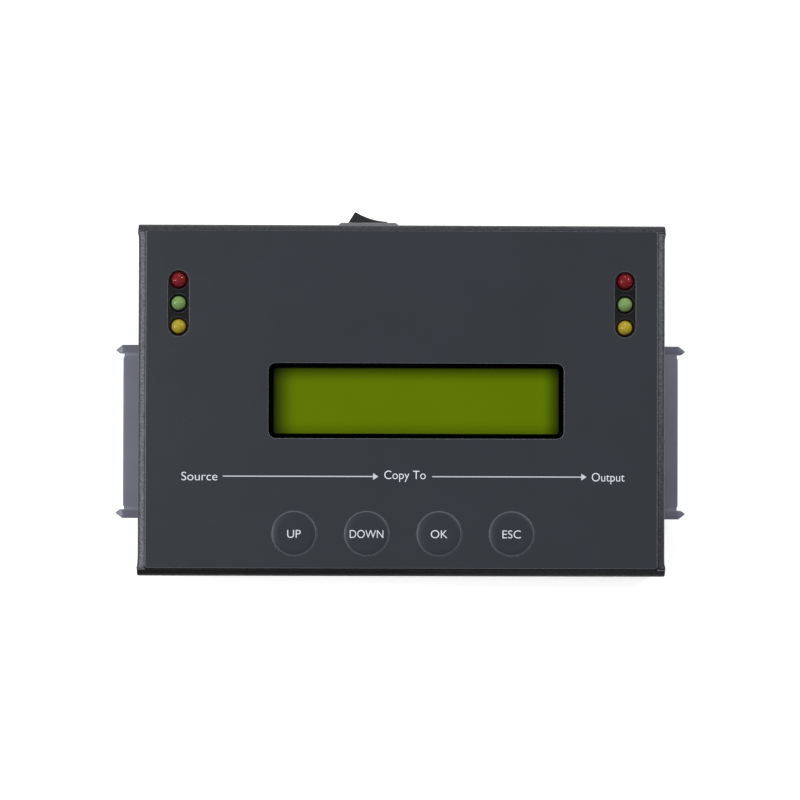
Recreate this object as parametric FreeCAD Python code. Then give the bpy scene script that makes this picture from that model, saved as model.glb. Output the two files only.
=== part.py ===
"""Stand-alone drive duplicator: two drive sockets, a four-key panel and a character display.

+X runs to the right along the long side, +Y to the rear and +Z up. The origin lies on the table, under
the middle of the whole outline. Lengths are millimetres and angles are degrees. Each function builds one
sub-part and returns its solid, or its group of separate solids.
"""
import FreeCAD, Part
import math
import os

# ---- Housing: a folded pan cover over a flat base --------------------------------------------------------
case_length = 150.0
case_depth = 100.0
case_height = 28.0
cover_sheet = 1.0
cover_bend_radius = 2.0
cover_end_overhang = 0.3
cover_seam = 0.2
base_sheet = 1.0
base_clearance = 0.25
base_corner_round = 3.0
tab_length = 9.0
tab_width = 8.0
tab_thickness = 2.0
tab_from_front = 8.0
tab_clearance = 1.0
cover_screw_radius = 1.5
screw_hole_clearance = 0.2
screw_engagement = 3.0
screw_head_radius = 2.7
screw_head_height = 1.4
foot_height = 1.8
foot_width = 10.0
foot_taper = 0.9
foot_inset_x = 24.0
foot_inset_y = 12.0
vent_count = 5
vent_pitch = 7.0
vent_length = 26.0
vent_width = 2.0
vent_x = -22.0
vent_y = -12.0

# ---- Front film ------------------------------------------------------------------------------------------
film_inset_x = 2.2
film_inset_y = 2.0
film_thickness = 0.3
film_corner = 0.8
film_shift = 0.3
film_hole_margin = 0.5

# ---- Display ---------------------------------------------------------------------------------------------
display_x = 4.1
display_y = -0.1
window_length = 84.0
window_depth = 21.4
window_corner = 2.1
view_length = 81.2
view_depth = 18.7
view_corner = 0.7
bezel_length = 97.0
bezel_depth = 26.0
bezel_drop = 0.15
bezel_height = 6.6
bezel_wall = 0.5
bezel_claw_length = 4.0
bezel_claw_width = 1.2
bezel_claw_count = 3
glass_thickness = 2.2
display_fit = 0.15
display_board_length = 116.0
display_board_depth = 36.0
display_board_thickness = 1.6
display_hole_inset = 2.5
display_pin_count = 16
display_pin_pitch = 2.54
display_pin_inset = 2.5

# ---- Keys ------------------------------------------------------------------------------------------------
key_names = ("key_up", "key_down", "key_ok", "key_esc")
key_row_x = 0.4
key_pitch = 20.6
key_row_from_front = 12.2
key_radius = 6.45
key_clearance = 0.1
key_stand_out = 0.5
key_edge = 0.3
key_flange_width = 15.0
key_flange_thickness = 1.0
key_stem_width = 4.4
key_travel = 0.4
tact_size = 6.0
tact_height = 3.5
tact_cap = 0.3
tact_cap_margin = 0.2
tact_corner = 0.3
plunger_radius = 1.75
plunger_clearance = 0.1
plunger_depth = 1.6
plunger_stand_out = 1.5

# ---- Indicator lamps -------------------------------------------------------------------------------------
lamp_colours = ("red", "green", "yellow")
lamp_sides = (-1, 1)
lamp_from_side = 11.5
lamp_from_rear = 22.5
lamp_pitch = 6.6
lamp_radius = 2.5
lamp_hole_clearance = 0.15
lamp_body_height = 6.1
lamp_stand_out = 1.7
lamp_window_width = 6.3
lamp_window_length = 19.4
lamp_lead = 0.5
lamp_lead_clearance = 0.15
lamp_lead_pitch = 2.54
lamp_spacer_size = (5.6, 4.6)

# ---- Panel board, hung under the cover -------------------------------------------------------------------
panel_board_gap = 10.4
panel_board_thickness = 1.6
panel_board_side_gap = 4.0
panel_board_front_gap = 3.0
panel_board_rear_margin = 1.6
panel_wing_width = 14.0
panel_post_from_side = 4.0
panel_post_from_edge = 4.0
panel_post_lamp_gap = 0.9
post_width = 5.0
board_screw_radius = 1.5
board_screw_length = 5.0
board_screw_head_radius = 2.75
board_screw_head_height = 1.6
board_screw_tip_gap = 0.6

# ---- Main board, on spacers over the base ----------------------------------------------------------------
main_board_gap = 3.8
main_board_thickness = 1.6
main_board_front_gap = 11.0
main_board_rear_gap = 9.0
main_board_edge_gap = 1.0
main_post_inset_x = 16.0
main_post_inset_y = 5.0

# ---- Drive sockets ---------------------------------------------------------------------------------------
socket_y = -8.9
socket_reach = 5.43
socket_body_length = 44.0
socket_body_thickness = 5.2
socket_corner = 1.0
socket_post_width = 2.5
socket_post_gap = 0.6
socket_post_reach = 2.17
socket_post_outer_slope = 2.05
socket_post_inner_slope = 1.2
socket_post_tip_inset = 0.9
socket_post_tip_width = 0.12
socket_post_top_drop = 0.9
socket_web_setback = 0.25
socket_inner_depth = 4.2
socket_back_lip = 2.4
socket_slot_depth = 6.2
socket_slot_thickness = 2.4
socket_power_width = 20.57
socket_signal_width = 10.41
socket_slot_gap = 2.4
socket_key_width = 1.2
socket_key_drop = 1.1
socket_notch_clearance = 0.3
contact_pitch = 1.27
contact_width = 0.7
contact_thickness = 0.25
contact_spring = 0.45
power_contacts = 15
signal_contacts = 7
contact_tip_gap = 0.8
contact_crest_share = 0.6
contact_crest_length = 1.0
contact_tail = 2.6

# ---- Rocker switch on the rear wall ----------------------------------------------------------------------
switch_x = -9.6
switch_z = 14.0
bezel_width = 17.2
bezel_tall = 12.2
bezel_proud = 1.2
bezel_chamfer = 0.7
switch_body_width = 14.8
switch_body_tall = 10.2
switch_body_depth = 14.5
switch_wall_clearance = 0.1
switch_opening_half = 6.6
switch_opening_tall = 7.8
switch_opening_depth = 9.0
rocker_width = 7.4
rocker_tilt = 17.0
rocker_pivot_drop = 1.0
rocker_chord_half = 4.9
rocker_chord_height = 2.98
rocker_dish_radius = 18.8
rocker_draft = 15.0
rocker_depth = 2.6
rocker_hub_radius = 2.4
rocker_pin_radius = 1.1
rocker_pin_length = 0.9
rocker_pin_clearance = 0.05
rocker_pin_end_gap = 0.1
terminal_spacing = 7.0
terminal_width = 4.8
terminal_thickness = 0.8
terminal_length = 7.5

# ---- Power jack ------------------------------------------------------------------------------------------
jack_x = 27.5
jack_width = 9.0
jack_height = 11.0
jack_depth = 14.2
jack_axis_height = 6.5
jack_nose_radius = 4.0
jack_nose_length = 1.1
jack_nose_clearance = 0.25
jack_bore_radius = 3.2
jack_bore_depth = 9.5
jack_pin_radius = 1.25
jack_pin_setback = 1.0
jack_wall_gap = 0.3
jack_chamfer = 0.4

# ---- Wiring inside the housing ---------------------------------------------------------------------------
lead_width = 2.8
lead_thickness = 1.4
lead_bend = 3.0
boot_depth = 9.0
boot_wall = 1.0
boot_gap = 0.6
blade_clearance = 0.1
header_depth = 7.5
header_height = 4.8
header_width = 7.4
plug_width = 5.4
plug_height = 3.2
plug_depth = 6.0
plug_insertion = 4.5
switch_header_y = 4.0
ribbon_thickness = 0.3
ribbon_width = 13.0
ribbon_run = 9.0
ribbon_socket_depth = 5.5
ribbon_socket_height = 2.2
ribbon_socket_width = 17.0
ribbon_insertion = 3.0
ribbon_from_left = 29.0
ribbon_y = 8.0

# ---- Chips and power parts -------------------------------------------------------------------------------
processor_size = 20.0
processor_height = 1.4
processor_leg_reach = 1.0
processor_leg_height = 0.2
processor_leg_overlap = 0.2
processor_place = (-6.0, -10.0)
memory_size = (22.2, 11.8, 1.0)
memory_place = (-32.0, -12.0)
flash_size = (5.2, 5.2, 1.6)
flash_place = (14.0, -22.0)
crystal_size = (7.0, 5.0, 1.4)
crystal_place = (-6.0, -28.0)
inductor_size = 7.0
inductor_height = 3.6
inductor_spots = ((117.0, 26.0), (117.0, 14.0))
capacitor_radius = 3.15
capacitor_height = 5.6
capacitor_foot_height = 0.9
capacitor_foot_lip = 0.15
capacitor_spots = ((107.0, 20.0), (39.0, 13.0), (29.0, 13.0))
transistor_size = (6.6, 6.1, 2.3)
transistor_places = ((46.0, -26.0), (-46.0, -26.0))
chip_stand_off = 0.1

# ---- Levels and lines worked out from the sizes above ----------------------------------------------------
base_top = foot_height + base_sheet
cover_under = case_height - cover_sheet
film_top = case_height + film_thickness
main_board_under = base_top + main_board_gap
main_board_top = main_board_under + main_board_thickness
panel_board_top = cover_under - panel_board_gap
panel_board_under = panel_board_top - panel_board_thickness
socket_z = main_board_under + main_board_thickness / 2
inner_half_length = case_length / 2 - cover_sheet
inner_half_depth = case_depth / 2 - cover_sheet
rear_wall = case_depth / 2
main_board_length = 2 * (inner_half_length - main_board_edge_gap)
main_board_depth = 2 * inner_half_depth - main_board_front_gap - main_board_rear_gap
main_board_y = (main_board_front_gap - main_board_rear_gap) / 2
film_length = case_length - 2 * film_inset_x
film_depth = case_depth - 2 * film_inset_y
key_row_y = key_row_from_front - case_depth / 2
lamp_x = case_length / 2 - lamp_from_side
lamp_y = case_depth / 2 - lamp_from_rear
tab_y = inner_half_depth - tab_from_front
panel_board_half = inner_half_length - panel_board_side_gap
panel_board_front = panel_board_front_gap - inner_half_depth
panel_board_rear = display_y + display_board_depth / 2 + panel_board_rear_margin
panel_post_x = panel_board_half - panel_post_from_side
panel_post_front = panel_board_front + panel_post_from_edge
panel_post_rear = lamp_y + lamp_pitch + lamp_spacer_size[1] / 2 + panel_post_lamp_gap + post_width / 2
panel_wing_rear = panel_post_rear + panel_post_from_edge
ribbon_x = ribbon_from_left - main_board_length / 2
display_bezel_top = cover_under - bezel_drop
display_board_top = display_bezel_top - bezel_height
jack_z = main_board_top + jack_axis_height
tact_top = panel_board_top + tact_height
plunger_top = tact_top + plunger_stand_out
socket_half_length = socket_body_length / 2 + socket_post_gap + socket_post_width


# ---- Small helpers ---------------------------------------------------------------------------------------
def vec(x, y, z=0.0):
    return FreeCAD.Vector(x, y, z)


def block(x0, x1, y0, y1, z0, z1):
    """Box between two opposite corners, given as low and high values along each axis."""
    return Part.makeBox(x1 - x0, y1 - y0, z1 - z0, vec(x0, y0, z0))


def centred_block(x, y, size_x, size_y, z0, z1):
    return block(x - size_x / 2, x + size_x / 2, y - size_y / 2, y + size_y / 2, z0, z1)


def rod(radius, x, y, z0, z1):
    """Upright cylinder between two heights."""
    return Part.makeCylinder(radius, z1 - z0, vec(x, y, z0))


def prism(radius, sides, x, y, z0, z1):
    """Upright bar with flat sides that touch a circle of this radius from outside."""
    reach = radius / math.cos(math.pi / sides)
    corners = [vec(x + reach * math.cos(2 * math.pi * (step + 0.5) / sides),
                   y + reach * math.sin(2 * math.pi * (step + 0.5) / sides), z0) for step in range(sides)]
    return polygon(corners).extrude(vec(0, 0, z1 - z0))


def shank(radius, x, y, z0, z1):
    """Stands for a small round shank or hole that the closed housing hides: it has eight sides."""
    return prism(radius, 8, x, y, z0, z1)


def rod_along_y(radius, x, z, y0, y1):
    return Part.makeCylinder(radius, y1 - y0, vec(x, y0, z), vec(0, 1, 0))


def upright_edges(solid):
    """The straight edges that run along Z."""
    chosen = []
    for edge in solid.Edges:
        ends = [vertex.Point for vertex in edge.Vertexes]
        if len(ends) == 2 and (ends[1] - ends[0]).cross(vec(0, 0, 1)).Length < 1e-6:
            chosen.append(edge)
    return chosen


def rounded_block(x, y, size_x, size_y, z0, z1, radius):
    """Centred block whose upright corners are rounded."""
    solid = centred_block(x, y, size_x, size_y, z0, z1)
    return solid.makeFillet(radius, upright_edges(solid))


def obround(x, y, size_x, size_y, z0, z1):
    """Upright slot shape: a block with a full half-round at each of its narrow ends."""
    radius = min(size_x, size_y) / 2
    reach_x, reach_y = size_x / 2 - radius, size_y / 2 - radius
    middle = centred_block(x, y, size_x if reach_y else 2 * reach_x, size_y if reach_x else 2 * reach_y,
                           z0, z1)
    ends = [rod(radius, x + sign * reach_x, y + sign * reach_y, z0, z1) for sign in (-1, 1)]
    return middle.fuse(ends).removeSplitter()


def edges_at(solid, axis, value, tolerance=1e-4):
    """Edges that lie wholly in the plane where the coordinate named by axis has this value."""
    low, high = axis + "Min", axis + "Max"
    return [edge for edge in solid.Edges
            if abs(getattr(edge.BoundBox, low) - value) < tolerance
            and abs(getattr(edge.BoundBox, high) - value) < tolerance]


def polygon(points):
    return Part.Face(Part.makePolygon(points + points[:1]))


def fuse(solids):
    """One solid made of touching or overlapping ones, with the seams between flat faces removed."""
    joined = solids[0]
    if len(solids) > 1:
        joined = solids[0].fuse(solids[1:])
    return joined.removeSplitter()


def mirror_to_left(solid):
    """Copy turned half a turn about the upright line through the middle of the sockets."""
    turned = solid.copy()
    turned.rotate(vec(0, socket_y, 0), vec(0, 0, 1), 180)
    return turned


corner_turns = ((-1, -1), (1, -1), (1, 1), (-1, 1), (-1, -1))


def both_ways(x, y):
    """The four points at plus and minus x and y."""
    return [(sx * x, sy * y) for sx in (-1, 1) for sy in (-1, 1)]


# ---- Places that several pieces share --------------------------------------------------------------------
def key_places():
    first = key_row_x - 1.5 * key_pitch
    return [first + index * key_pitch for index in range(len(key_names))]


def lamp_places():
    """Colour, x and y of each lamp, from the rear of each column to its front."""
    return [(colour, side * lamp_x, lamp_y + (1 - index) * lamp_pitch)
            for index, colour in enumerate(lamp_colours) for side in lamp_sides]


def cover_tab_places():
    """Screw centres on the four threaded tabs inside the cover's side walls."""
    return both_ways(inner_half_length - tab_length / 2, tab_y)


def foot_places():
    return both_ways(case_length / 2 - foot_inset_x, case_depth / 2 - foot_inset_y)


def panel_post_places():
    return [(sign * panel_post_x, y) for sign in (-1, 1) for y in (panel_post_front, panel_post_rear)]


def main_post_places():
    x = main_board_length / 2 - main_post_inset_x
    y = main_board_depth / 2 - main_post_inset_y
    return [(sx * x, main_board_y + sy * y) for sx in (-1, 1) for sy in (-1, 1)]


def rear_left_spots(spots):
    """Places on the main board that are given as distances from its left and rear edges."""
    left, rear = -main_board_length / 2, main_board_y + main_board_depth / 2
    return [(left + x, rear - y) for x, y in spots]


def display_hole_places():
    x = display_board_length / 2 - display_hole_inset
    y = display_board_depth / 2 - display_hole_inset
    return [(display_x + sx * x, display_y + sy * y) for sx in (-1, 1) for sy in (-1, 1)]


# ---- Housing pieces --------------------------------------------------------------------------------------
def bent_wall(reach, half_width, leg_half_width):
    """A strip that turns down from the top sheet: its bend, and the wall below it.

    The section lies in the XZ plane with its outer face at x = reach, and runs along Y.
    """
    outer, inner = cover_bend_radius, cover_bend_radius - cover_sheet
    inward = reach - outer
    half = math.sqrt(0.5)
    corner = vec(inward, 0, case_height - outer)

    def arc(radius):
        return Part.Arc(corner + vec(0, 0, radius), corner + vec(half * radius, 0, half * radius),
                        corner + vec(radius, 0, 0)).toShape()

    ends = [vec(inward, 0, case_height), vec(inward, 0, cover_under),
            vec(reach, 0, case_height - outer), vec(reach - cover_sheet, 0, case_height - outer)]
    bend = Part.Face(Part.Wire(Part.__sortEdges__([
        arc(outer), arc(inner), Part.makeLine(ends[0], ends[1]), Part.makeLine(ends[2], ends[3])])))
    bend.translate(vec(0, -half_width, 0))
    wall = block(reach - cover_sheet, reach, -leg_half_width, leg_half_width, foot_height,
                 case_height - outer)
    return [bend.extrude(vec(0, 2 * half_width, 0)), wall]


def turned(solids, angle):
    copies = [solid.copy() for solid in solids]
    for solid in copies:
        solid.rotate(vec(0, 0, 0), vec(0, 0, 1), angle)
    return copies


def socket_notch(sign):
    """Opening in a side wall, from the socket's top down to the wall's lower edge."""
    half = socket_half_length + socket_notch_clearance
    top = socket_z + socket_body_thickness / 2 + socket_notch_clearance
    low, high = sorted((sign * (inner_half_length - 1), sign * (case_length / 2 + 1)))
    return block(low, high, socket_y - half, socket_y + half, foot_height - 1, top)


def threaded_tab(x, y):
    """Angle welded inside a side wall, with the hole that a base screw bites into."""
    sign = math.copysign(1, x)
    low, high = sorted((sign * inner_half_length, sign * (inner_half_length - tab_length)))
    foot = block(low, high, y - tab_width / 2, y + tab_width / 2, base_top, base_top + tab_thickness)
    back_low, back_high = sorted((sign * inner_half_length, sign * (inner_half_length - cover_sheet)))
    back = block(back_low, back_high, y - tab_width / 2, y + tab_width / 2, base_top,
                 base_top + tab_width)
    return [foot, back]


def make_top_cover():
    """Folded pan: a top sheet, four bent walls, welded tabs and every opening of the panel and the rear."""
    side_half = case_depth / 2 - cover_bend_radius
    side_leg = inner_half_depth - cover_seam
    front_half = case_length / 2 + cover_end_overhang
    side = bent_wall(case_length / 2, side_half, side_leg)
    front = bent_wall(case_depth / 2, front_half, front_half)
    top = block(-case_length / 2 + cover_bend_radius, case_length / 2 - cover_bend_radius,
                -side_half, side_half, cover_under, case_height)
    pieces = [top] + side + turned(side, 180) + turned(front, 90) + turned(front, -90)
    for x, y in cover_tab_places():
        pieces += threaded_tab(x, y)
    cover = fuse(pieces)
    cuts = [socket_notch(-1), socket_notch(1)]
    window_x, window_y = window_length + 2 * film_hole_margin, window_depth + 2 * film_hole_margin
    cuts.append(centred_block(display_x, display_y, window_x, window_y, cover_under - 1, case_height + 1))
    key_hole = key_radius + key_clearance
    cuts += [rod(key_hole, x, key_row_y, cover_under - 1, case_height + 1) for x in key_places()]
    lamp_hole = lamp_radius + lamp_hole_clearance
    cuts += [rod(lamp_hole, x, y, cover_under - 1, case_height + 1) for colour, x, y in lamp_places()]
    cuts += [shank(cover_screw_radius, x, y, foot_height, base_top + screw_engagement)
             for x, y in cover_tab_places()]
    half_width = switch_body_width / 2 + switch_wall_clearance
    half_tall = switch_body_tall / 2 + switch_wall_clearance
    cuts.append(block(switch_x - half_width, switch_x + half_width, rear_wall - cover_sheet - 1,
                      rear_wall + 1, switch_z - half_tall, switch_z + half_tall))
    cuts.append(rod_along_y(jack_nose_radius + jack_nose_clearance, jack_x, jack_z, inner_half_depth - 1,
                            rear_wall + 1))
    return cover.cut(cuts)


def make_base_plate():
    """Flat base with upturned lips that close the cover's notches below the drive sockets."""
    half_x, half_y = inner_half_length - base_clearance, inner_half_depth - base_clearance
    plate = rounded_block(0, 0, 2 * half_x, 2 * half_y, foot_height, base_top, base_corner_round)
    lip_top = socket_z - socket_body_thickness / 2 - socket_notch_clearance
    lip_half = socket_half_length
    pieces = [plate]
    for sign in (-1, 1):
        low, high = sorted((sign * half_x, sign * (half_x - base_sheet)))
        pieces.append(block(low, high, socket_y - lip_half, socket_y + lip_half, foot_height, lip_top))
    plate = fuse(pieces)
    hole = cover_screw_radius + screw_hole_clearance
    cuts = [shank(hole, x, y, foot_height - 1, base_top + 1) for x, y in cover_tab_places()]
    for index in range(vent_count):
        y = vent_y + (index - (vent_count - 1) / 2) * vent_pitch
        cuts.append(centred_block(vent_x, y, vent_length, vent_width, foot_height - 1, base_top + 1))
    return plate.cut(cuts)


def make_rubber_feet():
    """Stick-on feet, square and tapered towards the table."""
    upper, lower = foot_width / 2, foot_width / 2 - foot_taper
    feet = []
    for x, y in foot_places():
        rings = [Part.makePolygon([vec(x + sx * half, y + sy * half, z) for sx, sy in corner_turns])
                 for half, z in ((lower, 0), (upper, foot_height))]
        feet.append(Part.makeLoft(rings, True, True))
    return feet


def make_cover_screw(x, y):
    """Round-headed screw driven upwards, with its head below the base."""
    head = rod(screw_head_radius, x, y, foot_height - screw_head_height, foot_height)
    length = base_sheet + screw_engagement
    return fuse([head, shank(cover_screw_radius, x, y, foot_height, foot_height + length)])


def make_cover_screws():
    """Screws through the base into the cover's tabs."""
    return [make_cover_screw(x, y) for x, y in cover_tab_places()]


def make_panel_overlay():
    """Printed film on top of the cover, cut out for the display, lamps and keys."""
    film = rounded_block(0, film_shift, film_length, film_depth, case_height, film_top, film_corner)
    low, high = case_height - 1, film_top + 1
    cuts = [rounded_block(display_x, display_y, window_length, window_depth, low, high, window_corner)]
    cuts += [rod(key_radius + key_clearance, x, key_row_y, low, high) for x in key_places()]
    cuts += [obround(side * lamp_x, lamp_y, lamp_window_width, lamp_window_length, low, high)
             for side in lamp_sides]
    return film.cut(cuts)


# ---- Display pieces --------------------------------------------------------------------------------------
def make_display_bezel():
    """Black steel frame folded down over the glass, with claws through the board."""
    shell = centred_block(display_x, display_y, bezel_length, bezel_depth, display_board_top,
                          display_bezel_top)
    hollow = centred_block(display_x, display_y, bezel_length - 2 * bezel_wall,
                           bezel_depth - 2 * bezel_wall, display_board_top - 1,
                           display_bezel_top - bezel_wall)
    view = rounded_block(display_x, display_y, view_length, view_depth, display_board_top,
                         display_bezel_top + 1, view_corner)
    claws = []
    for index in range(bezel_claw_count):
        x = display_x + (index - (bezel_claw_count - 1) / 2) * bezel_length / bezel_claw_count
        for sign in (-1, 1):
            y = display_y + sign * (bezel_depth - bezel_wall) / 2
            claws.append(centred_block(x, y, bezel_claw_length, bezel_wall,
                                       display_board_top - display_board_thickness - bezel_claw_width,
                                       display_board_top))
    return fuse([shell.cut([hollow, view])] + claws)


def make_display_glass():
    """Liquid crystal cell, pressed against the underside of the frame's rim."""
    top = display_bezel_top - bezel_wall
    return centred_block(display_x, display_y, bezel_length - 2 * (bezel_wall + display_fit),
                         bezel_depth - 2 * (bezel_wall + display_fit), top - glass_thickness, top)


def make_display_backlight():
    """Light guide between the glass and the board."""
    top = display_bezel_top - bezel_wall - glass_thickness
    return centred_block(display_x, display_y, bezel_length - 2 * (bezel_wall + display_fit),
                         bezel_depth - 2 * (bezel_wall + display_fit), display_board_top, top)


def make_display_board():
    low, high = display_board_top - display_board_thickness, display_board_top
    board = centred_block(display_x, display_y, display_board_length, display_board_depth, low, high)
    cuts = [shank(board_screw_radius + screw_hole_clearance, x, y, low - 1, high + 1)
            for x, y in display_hole_places()]
    for index in range(bezel_claw_count):
        x = display_x + (index - (bezel_claw_count - 1) / 2) * bezel_length / bezel_claw_count
        for sign in (-1, 1):
            y = display_y + sign * (bezel_depth - bezel_wall) / 2
            cuts.append(centred_block(x, y, bezel_claw_length + 2 * display_fit,
                                      bezel_wall + 2 * display_fit, low - 1, high + 1))
    return board.cut(cuts)


def display_header_y():
    return display_y + display_board_depth / 2 - display_pin_inset


def make_display_header():
    """Pin strip that holds the display board over the panel board and carries its signals."""
    low, high = panel_board_top, display_board_top - display_board_thickness
    row = display_pin_pitch * display_pin_count
    return centred_block(display_x, display_header_y(), row, display_pin_pitch, low, high)


# ---- Panel board and what it carries ---------------------------------------------------------------------
def make_panel_board():
    """U-shaped board: the wide front part holds keys and display, its two wings hold the lamps."""
    half = panel_board_half
    low, high = panel_board_under, panel_board_top
    main = block(-half, half, panel_board_front, panel_board_rear, low, high)
    wings = [block(*sorted((sign * half, sign * (half - panel_wing_width))), panel_board_rear,
                   panel_wing_rear, low, high) for sign in (-1, 1)]
    hole = board_screw_radius + screw_hole_clearance
    cuts = [shank(hole, x, y, low - 1, high + 1) for x, y in panel_post_places()]
    return fuse([main] + wings).cut(cuts)


def threaded_post(x, y, low, high, hole_low, hole_high):
    """Six-sided spacer with the hole that a board screw goes into."""
    hole = shank(board_screw_radius, x, y, hole_low, hole_high)
    return prism(post_width / 2, 6, x, y, low, high).cut(hole)


def board_screw(x, y, head_low, head_high, tip):
    """Six-sided head between two heights, and a shank that runs on to the height of its tip."""
    low, high = min(tip, head_low), max(tip, head_high)
    head = prism(board_screw_head_radius, 6, x, y, head_low, head_high)
    return fuse([head, shank(board_screw_radius, x, y, low, high)])


def make_panel_standoffs():
    """Threaded spacers between the cover and the panel board."""
    return [threaded_post(x, y, panel_board_top, cover_under, panel_board_top,
                          panel_board_top + board_screw_length) for x, y in panel_post_places()]


def make_panel_screws():
    """Screws up through the panel board into its spacers."""
    head_low = panel_board_under - board_screw_head_height
    return [board_screw(x, y, head_low, panel_board_under, panel_board_top + board_screw_length - 1)
            for x, y in panel_post_places()]


def make_tact_switches():
    """Push switch bodies, each with a metal cap plate and the well of its plunger."""
    bodies = []
    for x in key_places():
        body = centred_block(x, key_row_y, tact_size, tact_size, panel_board_top, tact_top - tact_cap)
        body = body.makeChamfer(tact_corner, upright_edges(body))
        cap_size = tact_size - 2 * tact_cap_margin
        cap = centred_block(x, key_row_y, cap_size, cap_size, tact_top - tact_cap, tact_top)
        well = shank(plunger_radius + plunger_clearance, x, key_row_y,
                     tact_top - plunger_depth - key_travel - plunger_clearance, tact_top + 1)
        bodies.append(fuse([body, cap]).cut(well))
    return bodies


def make_plunger(x):
    return shank(plunger_radius, x, key_row_y, tact_top - plunger_depth, plunger_top)


def make_key(x):
    """Round key: its cap, the square flange that stops under the cover, and a stem down to its switch."""
    top = film_top + key_stand_out
    cap = rod(key_radius, x, key_row_y, cover_under, top)
    cap = cap.makeChamfer(key_edge, edges_at(cap, "Z", top))
    flange_low = cover_under - key_flange_thickness
    flange = centred_block(x, key_row_y, key_flange_width, key_flange_width, flange_low, cover_under)
    stem = centred_block(x, key_row_y, key_stem_width, key_stem_width, plunger_top, flange_low)
    return fuse([cap, flange, stem])


def lamp_base():
    """Height of a lamp's underside."""
    return film_top + lamp_stand_out - lamp_radius - lamp_body_height


def make_lamp(x, y):
    """Five-millimetre lamp: round body, dome and two legs down into the board."""
    base = lamp_base()
    body = rod(lamp_radius, x, y, base, base + lamp_body_height)
    dome = Part.makeSphere(lamp_radius, vec(x, y, base + lamp_body_height))
    legs = [centred_block(x + sign * lamp_lead_pitch / 2, y, lamp_lead, lamp_lead,
                          panel_board_top, base) for sign in (-1, 1)]
    return fuse([body, dome] + legs)


def make_lamp_spacers():
    """Sleeves that hold each lamp at its height above the panel board, with a passage for each leg."""
    base = lamp_base()
    gap = lamp_lead / 2 + lamp_lead_clearance
    spacers = []
    for colour, x, y in lamp_places():
        sleeve = centred_block(x, y, *lamp_spacer_size, panel_board_top, base)
        cuts = [centred_block(x + sign * lamp_lead_pitch / 2, y, 2 * gap, 2 * gap, panel_board_top - 1,
                              base + 1) for sign in (-1, 1)]
        spacers.append(sleeve.cut(cuts))
    return spacers


# ---- Main board and what it carries ----------------------------------------------------------------------
def main_board_edge_notch():
    """Half width of the notch in each short edge, where a socket straddles the board."""
    return socket_half_length + socket_notch_clearance


def socket_board_edge():
    """X of the board's edge inside the right socket."""
    return inner_half_length - socket_inner_depth


def make_main_board():
    low, high = main_board_under, main_board_top
    board = centred_block(0, main_board_y, main_board_length, main_board_depth, low, high)
    cuts = []
    for sign in (-1, 1):
        near, far = sorted((sign * socket_board_edge(), sign * (main_board_length / 2 + 1)))
        half = main_board_edge_notch()
        cuts.append(block(near, far, socket_y - half, socket_y + half, low - 1, high + 1))
    hole = board_screw_radius + screw_hole_clearance
    cuts += [shank(hole, x, y, low - 1, high + 1) for x, y in main_post_places()]
    corner_x = inner_half_length - tab_length - tab_clearance
    corner_y = tab_y - tab_width / 2 - tab_clearance
    for sx, sy in both_ways(1, 1):
        cuts.append(block(*sorted((sx * corner_x, sx * (main_board_length / 2 + 1))),
                          *sorted((sy * corner_y, sy * case_depth / 2)), low - 1, high + 1))
    return board.cut(cuts)


def make_board_standoffs():
    """Threaded spacers pressed into the base, under the main board."""
    return [threaded_post(x, y, base_top, main_board_under, base_top, main_board_under)
            for x, y in main_post_places()]


def make_board_screws():
    """Screws down through the main board into its spacers."""
    head_high = main_board_top + board_screw_head_height
    return [board_screw(x, y, main_board_top, head_high, base_top + board_screw_tip_gap)
            for x, y in main_post_places()]


def chip(place, size, base=None):
    """Moulded package with a chamfered top edge, on or just above the main board."""
    low = main_board_top if base is None else base
    x, y = place
    length, depth, height = size
    body = centred_block(x, y, length, depth, low, low + height)
    return body.makeChamfer(height / 5, edges_at(body, "Z", low + height))


def make_processor():
    """Square flat package with rows of legs on all four sides."""
    x, y = processor_place
    size = (processor_size, processor_size, processor_height)
    body = chip(processor_place, size, main_board_top + chip_stand_off)
    reach = processor_size / 2 + processor_leg_reach
    frame = centred_block(x, y, 2 * reach, 2 * reach, main_board_top, main_board_top + processor_leg_height)
    inside = processor_size / 2 - processor_leg_overlap
    frame = frame.cut(centred_block(x, y, 2 * inside, 2 * inside, main_board_top - 1, main_board_top + 1))
    return fuse([body, frame])


def make_capacitors():
    """Can capacitors on square plastic feet."""
    foot_width = 2 * (capacitor_radius + capacitor_foot_lip)
    foot_top = main_board_top + capacitor_foot_height
    return [fuse([centred_block(x, y, foot_width, foot_width, main_board_top, foot_top),
                  prism(capacitor_radius, 12, x, y, foot_top, main_board_top + capacitor_height)])
            for x, y in rear_left_spots(capacitor_spots)]


def make_power_inductors():
    """Shielded coils: square cans with cut corners."""
    coils = [centred_block(x, y, inductor_size, inductor_size, main_board_top,
                           main_board_top + inductor_height) for x, y in rear_left_spots(inductor_spots)]
    return [coil.makeChamfer(inductor_size / 6, upright_edges(coil)) for coil in coils]


# ---- Drive sockets ---------------------------------------------------------------------------------------
def slot_centres():
    """Y centre of the power slot and of the signal slot, in the right socket."""
    total = socket_power_width + socket_slot_gap + socket_signal_width
    power = socket_y - total / 2 + socket_power_width / 2
    signal = socket_y + total / 2 - socket_signal_width / 2
    return power, signal


def socket_slot(centre, width, key_side):
    """L-shaped well that takes one tongue of a drive's connector."""
    mouth = case_length / 2 + socket_reach
    half = socket_slot_thickness / 2
    main = block(mouth - socket_slot_depth, mouth + 1, centre - width / 2, centre + width / 2,
                 socket_z - half, socket_z + half)
    edge = centre + key_side * width / 2
    low, high = sorted((edge, edge - key_side * socket_key_width))
    key = block(mouth - socket_slot_depth, mouth + 1, low, high, socket_z - half - socket_key_drop,
                socket_z)
    return fuse([main, key])


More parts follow.
